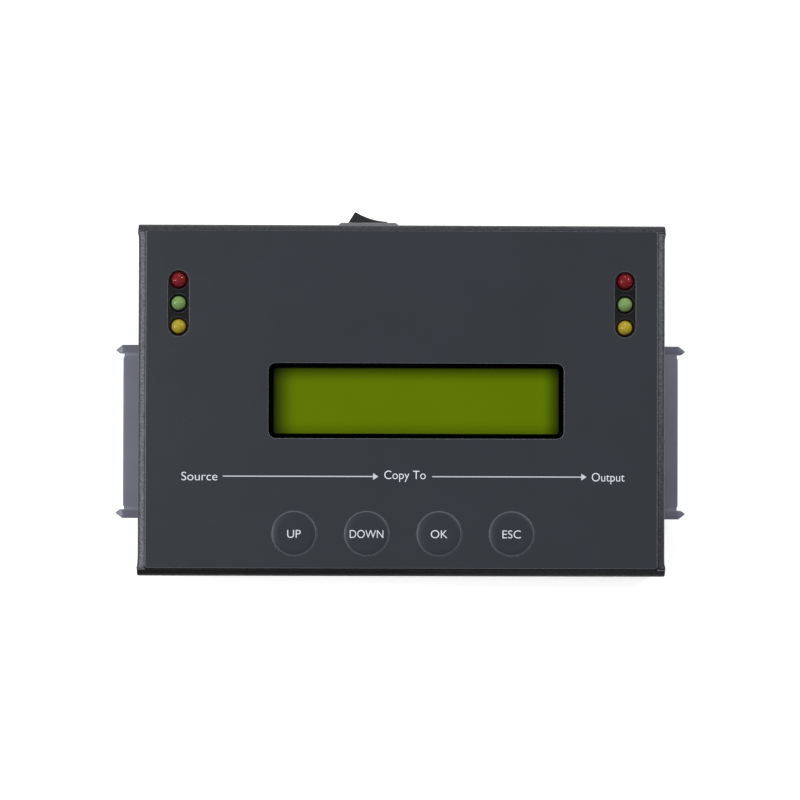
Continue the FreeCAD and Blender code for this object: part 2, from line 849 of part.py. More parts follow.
def guide_post(sign):
    """Post at one end of the socket: pointed, with a long outer slope and a short inner one."""
    tip = case_length / 2 + socket_reach + socket_post_reach
    root = inner_half_length - socket_back_lip
    inner = socket_y + sign * (socket_half_length - socket_post_width)
    outer = socket_y + sign * socket_half_length
    tip_inner = inner + sign * socket_post_tip_inset
    tip_outer = tip_inner + sign * socket_post_tip_width
    half = socket_body_thickness / 2
    corners = [(root, inner), (tip - socket_post_inner_slope, inner), (tip, tip_inner), (tip, tip_outer),
               (tip - socket_post_outer_slope, outer), (root, outer)]
    outline = [vec(x, y, socket_z - half) for x, y in corners]
    post = polygon(outline).extrude(vec(0, 0, socket_body_thickness))
    start = tip - socket_post_outer_slope
    cuts = []
    for side in (-1, 1):
        face = socket_z + side * half
        low = face - side * socket_post_top_drop
        corners = [(start, face), (tip, low), (tip + 1, face), (tip, face + side)]
        wedge = polygon([vec(x, inner - sign, z) for x, z in corners])
        cuts.append(wedge.extrude(vec(0, sign * (socket_post_width + 2), 0)))
    return post.cut(cuts)


def make_drive_socket_right():
    """Moulded socket for a drive's combined power and signal plug, clipped over the board's edge."""
    mouth = case_length / 2 + socket_reach
    root = inner_half_length - socket_back_lip
    half = socket_body_thickness / 2
    body_half = socket_body_length / 2
    body = block(root, mouth, socket_y - body_half, socket_y + body_half, socket_z - half, socket_z + half)
    corners = [edge for edge in upright_edges(body) if edge.BoundBox.XMin > mouth - 1e-3]
    body = body.makeFillet(socket_corner, corners)
    bridge_end = mouth - socket_web_setback
    bridge = block(root, bridge_end, socket_y - socket_half_length, socket_y + socket_half_length,
                   socket_z - half, socket_z + half)
    shelf = block(socket_board_edge() - contact_tail, root, socket_y - socket_half_length,
                  socket_y + socket_half_length, socket_z - half, socket_z + half)
    socket = fuse([body, bridge, shelf, guide_post(-1), guide_post(1)])
    power, signal = slot_centres()
    board = block(socket_board_edge() - contact_tail - 1, socket_board_edge() + display_fit,
                  socket_y - socket_half_length - 1, socket_y + socket_half_length + 1,
                  main_board_under, main_board_top)
    cuts = [socket_slot(power, socket_power_width, -1), socket_slot(signal, socket_signal_width, 1), board]
    return socket.cut(cuts)


def contact_places():
    """Y of each of the socket's contacts, power first."""
    power, signal = slot_centres()
    places = []
    for centre, count in ((power, power_contacts), (signal, signal_contacts)):
        places += [centre + (index - (count - 1) / 2) * contact_pitch for index in range(count)]
    return places


def make_socket_contacts_right():
    """Sprung contact blades along the lower wall of the wells."""
    mouth = case_length / 2 + socket_reach
    floor = socket_z - socket_slot_thickness / 2
    start = mouth - socket_slot_depth
    end = mouth - contact_tip_gap
    upper = floor + contact_thickness
    crest = start + socket_slot_depth * contact_crest_share
    profile = [(start, floor), (end, floor), (end, upper),
               (crest + contact_crest_length / 2, upper + contact_spring),
               (crest - contact_crest_length / 2, upper + contact_spring), (start, upper)]
    blades = []
    for y in contact_places():
        outline = [vec(x, y - contact_width / 2, z) for x, z in profile]
        blades.append(polygon(outline).extrude(vec(0, contact_width, 0)))
    return blades


# ---- Rocker switch ---------------------------------------------------------------------------------------
def make_switch_housing():
    """Snap-in housing: a bezel outside the wall, a body behind it, and the well that the rocker sits in."""
    front = rear_wall + bezel_proud
    bezel = block(switch_x - bezel_width / 2, switch_x + bezel_width / 2, rear_wall, front,
                  switch_z - bezel_tall / 2, switch_z + bezel_tall / 2)
    bezel = bezel.makeChamfer(bezel_chamfer, edges_at(bezel, "Y", front))
    back = rear_wall - switch_body_depth
    body = block(switch_x - switch_body_width / 2, switch_x + switch_body_width / 2, back, rear_wall,
                 switch_z - switch_body_tall / 2, switch_z + switch_body_tall / 2)
    well = block(switch_x - switch_opening_half, switch_x + switch_opening_half,
                 front - switch_opening_depth, front + 1, switch_z - switch_opening_tall / 2,
                 switch_z + switch_opening_tall / 2)
    hinge_y = front - rocker_pivot_drop
    hole = rocker_pin_radius + rocker_pin_clearance
    reach = rocker_width / 2 + rocker_pin_length + rocker_pin_end_gap
    bore = rod(hole, switch_x, hinge_y, switch_z - reach, switch_z + reach)
    return fuse([bezel, body]).cut([well, bore])


def make_rocker():
    """Dished rocker, shown tipped: its left end stands out. It turns on two short pins."""
    front = rear_wall + bezel_proud
    hinge_y = front - rocker_pivot_drop
    chord = hinge_y + rocker_chord_height
    half = rocker_chord_half
    sag = rocker_dish_radius - math.sqrt(rocker_dish_radius ** 2 - half ** 2)
    foot_y = hinge_y - rocker_depth
    waist_y = hinge_y - rocker_depth / 2
    foot_half = half + (chord - waist_y) * math.tan(math.radians(rocker_draft))
    low = switch_z - rocker_width / 2

    def point(x, y):
        return vec(switch_x + x, y, low)

    dish = Part.Arc(point(-half, chord), point(0, chord - sag), point(half, chord)).toShape()
    belly = [point(half, chord), point(foot_half, waist_y), point(rocker_hub_radius, foot_y),
             point(-rocker_hub_radius, foot_y), point(-foot_half, waist_y), point(-half, chord)]
    sides = [Part.makeLine(start, end) for start, end in zip(belly, belly[1:])]
    body = Part.Face(Part.Wire([dish] + sides)).extrude(vec(0, 0, rocker_width))
    reach = rocker_width / 2 + rocker_pin_length
    pins = rod(rocker_pin_radius, switch_x, hinge_y, switch_z - reach, switch_z + reach)
    rocker = fuse([body, pins])
    rocker.rotate(vec(switch_x, hinge_y, 0), vec(0, 0, 1), -rocker_tilt)
    return rocker


def terminal_places():
    return [switch_x + sign * terminal_spacing / 2 for sign in (-1, 1)]


def terminal_tip():
    return rear_wall - switch_body_depth - terminal_length


def make_switch_terminals():
    """Blade terminals at the back of the switch."""
    blades = []
    for x in terminal_places():
        blade = block(x - terminal_thickness / 2, x + terminal_thickness / 2, terminal_tip(),
                      rear_wall - switch_body_depth, switch_z - terminal_width / 2,
                      switch_z + terminal_width / 2)
        blades.append(blade.makeChamfer(terminal_thickness / 4, edges_at(blade, "Y", terminal_tip())))
    return blades


# ---- Wiring ----------------------------------------------------------------------------------------------
def header_middle_z():
    return main_board_top + header_height / 2


def make_switch_header():
    """Side-entry header on the main board, open to the rear."""
    y0 = switch_header_y
    shell = centred_block(switch_x, y0 + header_depth / 2, header_width, header_depth, main_board_top,
                          main_board_top + header_height)
    z = header_middle_z()
    half_width = plug_width / 2 + display_fit
    half_height = plug_height / 2 + display_fit
    well = block(switch_x - half_width, switch_x + half_width, y0 + header_depth - plug_insertion,
                 y0 + header_depth + 1, z - half_height, z + half_height)
    return shell.cut(well)


def plug_back():
    return switch_header_y + header_depth - plug_insertion + plug_depth


def make_switch_plug():
    """Two-way plug on the switch's leads."""
    z = header_middle_z()
    return centred_block(switch_x, plug_back() - plug_depth / 2, plug_width, plug_depth,
                         z - plug_height / 2, z + plug_height / 2)


def boot_front():
    """Y of the terminal boot's face towards the lead."""
    return rear_wall - switch_body_depth - boot_gap - boot_depth


def make_terminal_boot():
    """Moulded boot pushed over both blade terminals of the switch."""
    half_x = terminal_spacing / 2 + terminal_thickness / 2 + boot_wall
    half_z = terminal_width / 2 + boot_wall
    boot = block(switch_x - half_x, switch_x + half_x, boot_front(), boot_front() + boot_depth,
                 switch_z - half_z, switch_z + half_z)
    boot = boot.makeChamfer(boot_wall / 2, edges_at(boot, "Y", boot_front()))
    half_gap = terminal_thickness / 2 + blade_clearance
    half_tall = terminal_width / 2 + blade_clearance
    wells = [block(x - half_gap, x + half_gap, terminal_tip() - blade_clearance,
                   boot_front() + boot_depth + 1, switch_z - half_tall, switch_z + half_tall)
             for x in terminal_places()]
    return boot.cut(wells)


def bent_strip(stations, bend, thickness, x0, x1):
    """Flat strip along a route in the YZ plane, from x0 to x1: straight runs joined by tangent arcs."""
    upper, lower = [], []
    start = stations[0]
    normal = vec(1, 0, 0).cross((stations[1] - start).normalize())
    for before, corner, after in zip(stations, stations[1:], stations[2:]):
        back, ahead = (before - corner).normalize(), (after - corner).normalize()
        half_turn = (math.pi - back.getAngle(ahead)) / 2
        first, last = (corner + way * (bend * math.tan(half_turn)) for way in (back, ahead))
        centre = corner + (back + ahead).normalize() * (bend / math.cos(half_turn))
        middle = (corner - centre).normalize()
        next_normal = vec(1, 0, 0).cross(ahead)
        for edges, side in ((upper, thickness / 2), (lower, -thickness / 2)):
            reach = bend - side if normal.dot(centre - first) > 0 else bend + side
            edges.append(Part.makeLine(start + normal * side, first + normal * side))
            edges.append(Part.Arc(first + normal * side, centre + middle * reach,
                                  last + next_normal * side).toShape())
        start, normal = last, next_normal
    for edges, side in ((upper, thickness / 2), (lower, -thickness / 2)):
        edges.append(Part.makeLine(start + normal * side, stations[-1] + normal * side))
    ends = [Part.makeLine(upper[0].firstVertex().Point, lower[0].firstVertex().Point),
            Part.makeLine(upper[-1].lastVertex().Point, lower[-1].lastVertex().Point)]
    outline = Part.Wire(Part.__sortEdges__(upper + lower + ends))
    strip = Part.Face(outline).extrude(vec(x1 - x0, 0, 0))
    strip.translate(vec(x0, 0, 0))
    return strip


def make_switch_lead():
    """Flat twin lead from the terminal boot down to the plug."""
    y_top, y_low = boot_front(), plug_back()
    run = (y_top - y_low) / 3
    z_low = header_middle_z()
    stations = [vec(0, y_top, switch_z), vec(0, y_top - run, switch_z), vec(0, y_low + run, z_low),
                vec(0, y_low, z_low)]
    return bent_strip(stations, lead_bend, lead_thickness, switch_x - lead_width / 2,
                      switch_x + lead_width / 2)


def ribbon_levels():
    """Heights of the ribbon's lower and upper runs, at its middle."""
    return (main_board_top + ribbon_socket_height / 2, panel_board_under - ribbon_socket_height / 2)


def make_ribbon_cable():
    """Flat cable that turns back on itself between the two boards."""
    low, high = ribbon_levels()
    half = ribbon_thickness / 2
    middle, radius = (low + high) / 2, (high - low) / 2
    start, turn = ribbon_y - ribbon_insertion, ribbon_y + ribbon_run
    x = ribbon_x - ribbon_width / 2

    def loop(r):
        near, far = vec(x, turn, middle - r), vec(x, turn, middle + r)
        arc = Part.Arc(near, vec(x, turn + r, middle), far).toShape()
        return [Part.makeLine(vec(x, start, middle - r), near), arc,
                Part.makeLine(far, vec(x, start, middle + r))]

    outer, inner = loop(radius + half), loop(radius - half)
    ends = [Part.makeLine(vec(x, start, middle + side * (radius - half)),
                          vec(x, start, middle + side * (radius + half))) for side in (-1, 1)]
    outline = Part.Wire(Part.__sortEdges__(outer + inner + ends))
    return Part.Face(outline).extrude(vec(ribbon_width, 0, 0))


def make_ribbon_sockets():
    """Flat-cable sockets, one on the main board and one under the panel board."""
    sockets = []
    for level in ribbon_levels():
        low, high = level - ribbon_socket_height / 2, level + ribbon_socket_height / 2
        body = block(ribbon_x - ribbon_socket_width / 2, ribbon_x + ribbon_socket_width / 2,
                     ribbon_y - ribbon_socket_depth, ribbon_y, low, high)
        slot = block(ribbon_x - ribbon_width / 2 - display_fit, ribbon_x + ribbon_width / 2 + display_fit,
                     ribbon_y - ribbon_insertion, ribbon_y + 1, level - ribbon_thickness / 2,
                     level + ribbon_thickness / 2)
        sockets.append(body.cut(slot))
    return sockets


# ---- Power jack ------------------------------------------------------------------------------------------
def jack_front():
    return inner_half_depth - jack_wall_gap


def make_power_jack():
    """Moulded jack on the main board, its round nose in the rear wall's hole."""
    front = jack_front()
    body = block(jack_x - jack_width / 2, jack_x + jack_width / 2, front - jack_depth, front,
                 main_board_top, main_board_top + jack_height)
    body = body.makeChamfer(jack_chamfer, edges_at(body, "Z", main_board_top + jack_height))
    nose = rod_along_y(jack_nose_radius, jack_x, jack_z, front, front + jack_nose_length)
    bore = rod_along_y(jack_bore_radius, jack_x, jack_z, front + jack_nose_length - jack_bore_depth,
                       front + jack_nose_length + 1)
    return fuse([body, nose]).cut(bore)


def make_power_jack_pin():
    """Centre pin of the jack, with a bevelled tip."""
    mouth = jack_front() + jack_nose_length
    tip = mouth - jack_pin_setback
    pin = rod_along_y(jack_pin_radius, jack_x, jack_z, mouth - jack_bore_depth, tip)
    return pin.makeChamfer(jack_pin_radius / 3, edges_at(pin, "Y", tip))


# ---- The whole assembly ----------------------------------------------------------------------------------
def build():
    """Every node's name with its solid, or with the list of solids that form its group."""
    nodes = {
        "top_cover": make_top_cover(),
        "base_plate": make_base_plate(),
        "rubber_feet": make_rubber_feet(),
        "cover_screws": make_cover_screws(),
        "panel_overlay": make_panel_overlay(),
        "display_bezel": make_display_bezel(),
        "display_glass": make_display_glass(),
        "display_backlight": make_display_backlight(),
        "display_board": make_display_board(),
        "display_header": make_display_header(),
        "panel_board": make_panel_board(),
        "panel_standoffs": make_panel_standoffs(),
        "panel_screws": make_panel_screws(),
        "tact_switches": make_tact_switches(),
        "lamp_spacers": make_lamp_spacers(),
        "main_board": make_main_board(),
        "board_standoffs": make_board_standoffs(),
        "board_screws": make_board_screws(),
        "processor": make_processor(),
        "memory_chip": chip(memory_place, memory_size),
        "flash_chip": chip(flash_place, flash_size),
        "crystal": chip(crystal_place, crystal_size),
        "power_inductors": make_power_inductors(),
        "capacitors": make_capacitors(),
        "power_transistors": [chip(place, transistor_size) for place in transistor_places],
        "switch_housing": make_switch_housing(),
        "rocker": make_rocker(),
        "switch_terminals": make_switch_terminals(),
        "switch_header": make_switch_header(),
        "switch_plug": make_switch_plug(),
        "terminal_boot": make_terminal_boot(),
        "switch_lead": make_switch_lead(),
        "ribbon_cable": make_ribbon_cable(),
        "ribbon_sockets": make_ribbon_sockets(),
        "power_jack": make_power_jack(),
        "power_jack_pin": make_power_jack_pin(),
    }
    for name, x in zip(key_names, key_places()):
        nodes[name] = make_key(x)
        nodes[name.replace("key", "plunger")] = make_plunger(x)
    for colour in lamp_colours:
        nodes[f"leds_{colour}"] = [make_lamp(x, y) for name, x, y in lamp_places() if name == colour]
    right_socket, right_contacts = make_drive_socket_right(), make_socket_contacts_right()
    nodes["drive_socket_right"] = right_socket
    nodes["socket_contacts_right"] = right_contacts
    nodes["drive_socket_left"] = mirror_to_left(right_socket)
    nodes["socket_contacts_left"] = [mirror_to_left(blade) for blade in right_contacts]
    return nodes


def centre_of_outline(nodes):
    """How far the middle of the whole outline lies behind the housing's middle."""
    box = FreeCAD.BoundBox()
    for solids in nodes.values():
        for solid in (solids if isinstance(solids, list) else [solids]):
            box.add(solid.optimalBoundingBox(False))
    return (box.YMin + box.YMax) / 2


def main():
    os.makedirs("parts", exist_ok=True)
    nodes = build()
    shift = vec(0, -centre_of_outline(nodes), 0)
    print(f"housing middle lies at y = {shift.y:.4f}")
    for name, solids in nodes.items():
        group = solids if isinstance(solids, list) else [solids]
        shape = group[0].copy() if len(group) == 1 else Part.makeCompound(group)
        shape.translate(shift)
        count = len(shape.Solids)
        if count != len(group) or not shape.isValid():
            print(f"CHECK {name}: {count} solids for {len(group)}, valid {shape.isValid()}")
        shape.exportStep(os.path.join("parts", name + ".step"))


main()
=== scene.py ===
"""Looks of a stand-alone drive duplicator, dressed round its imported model.

A folded, powder-coated cover carries a printed film, a character display, four keys and six lamps. A drive
socket stands out of each side, and the rear wall holds a rocker switch and a power jack. Sizes in this file
are millimetres until a mesh is made. +X runs to the right along the case, +Y to its rear and +Z up.
"""
from __future__ import annotations

import logging
import math
from dataclasses import dataclass, field, replace
from enum import Enum
from typing import Any, Callable, Sequence

import bpy
import numpy as np
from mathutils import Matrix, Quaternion, Vector, geometry


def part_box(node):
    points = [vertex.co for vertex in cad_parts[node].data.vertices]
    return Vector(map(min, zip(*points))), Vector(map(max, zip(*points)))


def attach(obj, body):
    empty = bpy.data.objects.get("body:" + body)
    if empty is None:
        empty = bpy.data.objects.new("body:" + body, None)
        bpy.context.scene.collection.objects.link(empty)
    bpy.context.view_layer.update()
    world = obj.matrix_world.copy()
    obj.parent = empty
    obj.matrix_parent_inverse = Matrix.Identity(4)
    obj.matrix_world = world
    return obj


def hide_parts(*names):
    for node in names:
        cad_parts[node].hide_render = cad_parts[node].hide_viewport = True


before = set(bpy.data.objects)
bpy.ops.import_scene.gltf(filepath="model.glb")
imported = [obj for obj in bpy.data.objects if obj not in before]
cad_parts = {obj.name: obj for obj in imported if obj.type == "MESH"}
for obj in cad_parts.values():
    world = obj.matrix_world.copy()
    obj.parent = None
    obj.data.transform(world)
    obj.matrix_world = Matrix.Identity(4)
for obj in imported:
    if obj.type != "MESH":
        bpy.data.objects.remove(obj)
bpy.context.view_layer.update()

Array = np.ndarray
Colour = tuple[float, float, float]
MM = 0.001
HOUSING = "housing"
LEAST_COSINE = 0.4
SHARP_ANGLE = math.radians(38)
COLOUR_SOCKET = "NodeSocketColor"
CLOUD_SPAN = (0.3, 0.7)
CELLS_PER_SWELL = 1.3
SWELL_SHARE = 0.6
LOG = logging.getLogger("duplicator")


# ---- Places read from the frame --------------------------------------------------------------------------
@dataclass(frozen=True)
class Box:
    """Lowest and highest corner of a node at rest."""

    low: Array
    high: Array

    @classmethod
    def of(cls, node: str) -> Box:
        """Box of a node of the frame.

        Args:
            node: The node's name.

        Returns:
            Its box in millimetres.
        """
        low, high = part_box(node)
        return cls(np.array(low) / MM, np.array(high) / MM)

    @property
    def centre(self) -> Array:
        """Middle of the box."""
        return (self.low + self.high) / 2

    @property
    def size(self) -> Array:
        """Extent along each axis."""
        return self.high - self.low


class Facing(Enum):
    """Way that a local shape's own axes a, b and c lie in the frame; c points where the face looks."""

    UP = ((1, 0, 0), (0, 1, 0), (0, 0, 1))
    DOWN = ((1, 0, 0), (0, -1, 0), (0, 0, -1))
    REAR = ((-1, 0, 0), (0, 0, 1), (0, 1, 0))
    RIGHT = ((0, 1, 0), (0, 0, 1), (1, 0, 0))
    LEFT = ((0, -1, 0), (0, 0, 1), (-1, 0, 0))


# ---- Outlines --------------------------------------------------------------------------------------------
def unit(vectors: Array) -> Array:
    """Vectors of length one in the same directions."""
    return vectors / np.maximum(np.linalg.norm(vectors, axis=-1, keepdims=True), 1e-12)


def quarter_turn(steps: int) -> Array:
    """Evenly spaced angles from 0 to a quarter turn."""
    return np.linspace(0, np.pi / 2, steps + 1)


def ring_at(outline: Array, level: float) -> Array:
    """Outline in a and b, lifted to one height."""
    return np.column_stack([outline, np.full(len(outline), level)])


def circle(radius: float, centre: Sequence[float] = (0, 0), steps: int = 48) -> Array:
    """Anticlockwise circle: radius times the cosine and sine of an evenly growing angle.

    Args:
        radius: Its radius.
        centre: Its middle.
        steps: How many points it has.

    Returns:
        Points, one row each.
    """
    angle = (np.arange(steps) + 0.5) * 2 * np.pi / steps
    return np.stack([np.cos(angle), np.sin(angle)], 1) * radius + np.asarray(centre, float)


def rounded_polygon(corners: Sequence[Sequence[float]], radius: float, steps: int = 6) -> Array:
    """Outline whose corners are arcs tangent to both their sides.

    An arc's centre lies on its corner's bisector, radius over the sine of half the corner's angle away,
    and its ends lie radius over the tangent of that half angle along each side.

    Args:
        corners: Corner points, in order.
        radius: Radius of every arc.
        steps: Number of steps in each arc.

    Returns:
        Points, one row each, running the way that the corners do.
    """
    points = np.asarray(corners, float)
    back = unit(np.roll(points, 1, 0) - points)
    ahead = unit(np.roll(points, -1, 0) - points)
    half = np.arccos(np.clip((back * ahead).sum(1), -1, 1)) / 2
    centre = points + unit(back + ahead) * (radius / np.sin(half))[:, None]
    reach = (radius / np.tan(half))[:, None]
    first, last = points + back * reach - centre, points + ahead * reach - centre
    start = np.arctan2(first[:, 1], first[:, 0])
    turn = np.arctan2(first[:, 0] * last[:, 1] - first[:, 1] * last[:, 0], (first * last).sum(1))
    angle = start[:, None] + turn[:, None] * np.linspace(0, 1, steps + 1)
    arcs = centre[:, None] + radius * np.stack([np.cos(angle), np.sin(angle)], -1)
    return arcs.reshape(-1, 2)


def rounded_box(centre: Sequence[float], size: Sequence[float], radius: float, steps: int = 6) -> Array:
    """Anticlockwise rectangle with round corners.

    Args:
        centre: Its middle.
        size: Its full length along a and b.
        radius: Radius of its corners.
        steps: Number of steps in each corner.

    Returns:
        Points, one row each.
    """
    signs = np.array([(-1, -1), (1, -1), (1, 1), (-1, 1)], float)
    return rounded_polygon(np.asarray(centre) + signs * np.asarray(size) / 2, radius, steps)


def moved_in(loop: Array, distance: float) -> Array:
    """Outline moved to its left, which is into the material for an outer outline or a clockwise hole.

    Each point moves along the mean of its two sides' normals, by the distance over the cosine of half
    the turn.

    Args:
        loop: Points of the outline.
        distance: How far its sides move.

    Returns:
        The moved points.
    """
    side = unit(np.roll(loop, -1, 0) - loop)
    normal = np.stack([-side[:, 1], side[:, 0]], 1)
    mean = unit(normal + np.roll(normal, 1, 0))
    stretch = 1 / np.maximum((mean * normal).sum(1), LEAST_COSINE)
    return loop + mean * (stretch * distance)[:, None]


def edge_rings(top: float, bottom: float, upper: float, lower: float, steps: int = 4,
               support: float = 0.06) -> Array:
    """Inset and height of each ring of a wall with a rounded edge at its top and at its foot.

    Each edge is a quarter circle: inset is radius times one minus the sine of the turn, and the drop is
    radius times one minus its cosine. A support ring on each flat face keeps that face's shading flat.

    Args:
        top: Height of the upper face.
        bottom: Height of the lower face.
        upper: Radius of the upper edge.
        lower: Radius of the lower edge.
        steps: Number of steps in each edge.
        support: Distance of the support rings from the edges.

    Returns:
        Rows of inset and height, from the upper face to the lower one.
    """
    turn = quarter_turn(steps)
    fall = 1 - np.cos(turn)
    above = np.stack([upper * (1 - np.sin(turn)), top - upper * fall], 1)
    below = np.stack([lower * (1 - np.sin(turn)), bottom + lower * fall], 1)[::-1]
    return np.vstack([(upper + support, top), above, below, (lower + support, bottom)])


def well_rings(top: float, floor: float, upper: float, steps: int = 4, support: float = 0.06) -> Array:
    """Inset and height of each ring of a blind hole's wall: a rounded mouth, then straight to its floor.

    Args:
        top: Height of the face that the hole starts in.
        floor: Height of its floor.
        upper: Radius of its mouth's edge.
        steps: Number of steps in that edge.
        support: Distance of the support ring from the edge.

    Returns:
        Rows of inset and height, from the face to the floor.
    """
    turn = quarter_turn(steps)
    mouth = np.stack([upper * (1 - np.sin(turn)), top - upper * (1 - np.cos(turn))], 1)
    return np.vstack([(upper + support, top), mouth, (0, floor)])


def stacked(outline: Array, rings: Array) -> Array:
    """One outline carried through a list of insets and heights.

    Args:
        outline: Points of the outline.
        rings: Rows of inset and height.

    Returns:
        Array of rings, each an array of points in a, b and c.
    """
    return np.stack([ring_at(moved_in(outline, inset), height) for inset, height in rings])


# ---- Surfaces --------------------------------------------------------------------------------------------
@dataclass
class Shell:
    """Closed surface: points, arrays of faces, and a mark on each point, 1 on a cut or rounded edge."""

    points: Array
    faces: list[Array]
    marks: Array

    def mapped(self, change: Callable[[Array], Array]) -> Shell:
        """The shell with its points carried through a function of them all."""
        return Shell(change(self.points), self.faces, self.marks)

    def placed(self, origin: Sequence[float], facing: Facing = Facing.UP) -> Shell:
        """The shell with its own axes turned into the frame and its origin put in place."""
        axes = np.array(facing.value, float)
        return self.mapped(lambda points: points @ axes + np.asarray(origin, float))


def joined(shells: Sequence[Shell]) -> Shell:
    """One shell that holds several, as separate closed surfaces.

    Args:
        shells: The shells to hold.

    Returns:
        The joined shell.
    """
    starts = np.cumsum([0] + [len(shell.points) for shell in shells[:-1]])
    faces = [block + start for shell, start in zip(shells, starts) for block in shell.faces]
    return Shell(np.vstack([shell.points for shell in shells]), faces,
                 np.concatenate([shell.marks for shell in shells]))


def wall_faces(rings: int, around: int, closed: bool = False) -> Array:
    """Four-cornered faces between rings that follow each other, each ring running anticlockwise.

    Args:
        rings: Number of rings, from the top down.
        around: Number of points in each ring.
        closed: Whether the last ring also joins the first.

    Returns:
        Faces, one row each, that look away from the rings' middle.
    """
    grid = np.arange(rings * around).reshape(rings, around)
    upper = grid if closed else grid[:-1]
    lower = np.roll(grid, -1, 0) if closed else grid[1:]
    corners = [upper, lower, np.roll(lower, -1, 1), np.roll(upper, -1, 1)]
    return np.stack(corners, -1).reshape(-1, 4)


def inside(points: Array, loops: Sequence[Array]) -> Array:
    """Which points are inside: a ray from each towards +a crosses the outlines an odd number of times.

    Args:
        points: Points to test.
        loops: Closed outlines.

    Returns:
        True for each point that is inside.
    """
    start = np.vstack(loops)
    end = np.vstack([np.roll(loop, -1, 0) for loop in loops])
    level = points[:, 1, None]
    spans = (start[:, 1] > level) != (end[:, 1] > level)
    rise = np.where(np.abs(end[:, 1] - start[:, 1]) < 1e-12, 1.0, end[:, 1] - start[:, 1])
    crossing = start[:, 0] + (level - start[:, 1]) * (end[:, 0] - start[:, 0]) / rise
    return (spans & (points[:, 0, None] < crossing)).sum(1) % 2 == 1


def filled(loops: Sequence[Array], extra: Array | None = None, edges: Array | None = None) -> Array:
    """Triangles that fill the room between closed outlines, by constrained Delaunay triangulation.

    Args:
        loops: Outer outline and holes.
        extra: Further points inside, which follow the outlines' points in the count.
        edges: Further edges that the triangles have to keep, as pairs of point numbers.

    Returns:
        Anticlockwise triangles of point numbers.

    Raises:
        ValueError: If outlines cross, so that the points don't come back as they were given.
    """
    points = np.vstack(list(loops) + ([] if extra is None else [extra]))
    starts = np.cumsum([0] + [len(loop) for loop in loops])
    kept = [start + np.stack([np.arange(len(loop)), (np.arange(len(loop)) + 1) % len(loop)], 1)
            for start, loop in zip(starts, loops)]
    if edges is not None:
        kept.append(edges)
    found = geometry.delaunay_2d_cdt([Vector(point) for point in points.tolist()],
                                     np.vstack(kept).tolist(), [], 0, 1e-6, False)
    back, triangles = np.array(found[0]), np.array(found[2])
    if back.shape != points.shape or not np.allclose(back, points, atol=1e-5):
        raise ValueError("outlines cross or touch")
    corners = points[triangles]
    first, second = corners[:, 1] - corners[:, 0], corners[:, 2] - corners[:, 0]
    area = first[:, 0] * second[:, 1] - first[:, 1] * second[:, 0]
    triangles[area < 0] = triangles[area < 0][:, ::-1]
    return triangles[inside(corners.mean(1), loops) & (np.abs(area) > 1e-12)]


@dataclass
class Cut:
    """Hole in a moulding: the rings of its wall from the upper face down, and whether it has a floor."""

    rings: Array
    floor: bool = False


def through(loops: Sequence[Array], rings: Array) -> list[Cut]:
    """Through holes that follow anticlockwise outlines, each with the same rings of inset and height."""
    return [Cut(stacked(loop[::-1], rings)) for loop in loops]


@dataclass
class Seams:
    """Further points of both faces of a moulding, and the edges between them that its triangles keep."""

    points: Array
    edges: Array


def moulding(rings: Array, cuts: Sequence[Cut] = (), seams: Seams | None = None) -> Shell:
    """Closed block between two flat faces, with a wall made of rings and any number of holes.

    The faces are filled between the first and the last rings, and a blind hole gets its own floor.

    Args:
        rings: Rings of the outer wall, anticlockwise, from the upper face to the lower one.
        cuts: Holes, whose rings run clockwise.
        seams: Further points and edges of both faces, at the heights of those faces.

    Returns:
        The closed shell.
    """
    points, faces, marks, tops, feet, count = [], [], [], [], [], 0
    for wall, floor in [(rings, False)] + [(cut.rings, cut.floor) for cut in cuts]:
        steps, around = wall.shape[:2]
        points.append(wall.reshape(-1, 3))
        faces.append(wall_faces(steps, around) + count)
        mark = np.ones((steps, around))
        mark[0], mark[-1] = 0, 0
        marks.append(mark.ravel())
        tops.append((wall[0, :, :2], count + np.arange(around)))
        last = (wall[-1, :, :2], count + (steps - 1) * around + np.arange(around))
        if floor:
            faces.append(last[1][filled([last[0]])])
        else:
            feet.append(last)
        count += steps * around
    for caps, height, order in ((tops, rings[0, 0, 2], 1), (feet, rings[-1, 0, 2], -1)):
        numbers = [part[1] for part in caps]
        extra, edges = None, None
        if seams is not None:
            extra = seams.points
            edges = seams.edges + sum(len(part) for part in numbers)
            points.append(ring_at(extra, height))
            marks.append(np.zeros(len(extra)))
            numbers.append(count + np.arange(len(extra)))
            count += len(extra)
        triangles = filled([part[0] for part in caps], extra, edges)
        faces.append(np.concatenate(numbers)[triangles][:, ::order])
    return Shell(np.vstack(points), faces, np.concatenate(marks))


def revolved(profile: Sequence[Sequence[float]], steps: int = 48) -> Shell:
    """Surface of revolution about the c axis: each profile row gives a ring's radius and height.

    A row of radius 0 at either end becomes a pole. Without poles the last ring joins the first.

    Args:
        profile: Rows of radius and height, from the upper pole outwards and down.
        steps: Number of points in each ring.

    Returns:
        The closed shell.
    """
    rows = np.asarray(profile, float)
    poled = rows[0, 0] == 0
    middle = rows[1:-1] if poled else rows
    ring = circle(1, steps=steps)
    points = np.concatenate([middle[:, 0, None, None] * ring,
                             np.broadcast_to(middle[:, 1, None, None], (len(middle), steps, 1))], 2)
    points = points.reshape(-1, 3)
    faces = [wall_faces(len(middle), steps, not poled)]
    if poled:
        near, far = np.arange(steps), (np.arange(steps) + 1) % steps
        last = (len(middle) - 1) * steps
        top, bottom = len(points), len(points) + 1
        faces.append(np.stack([np.full(steps, top), near, far], 1))
        faces.append(np.stack([np.full(steps, bottom), last + far, last + near], 1))
        points = np.vstack([points, (0, 0, rows[0, 1]), (0, 0, rows[-1, 1])])
    return Shell(points, faces, np.zeros(len(points)))


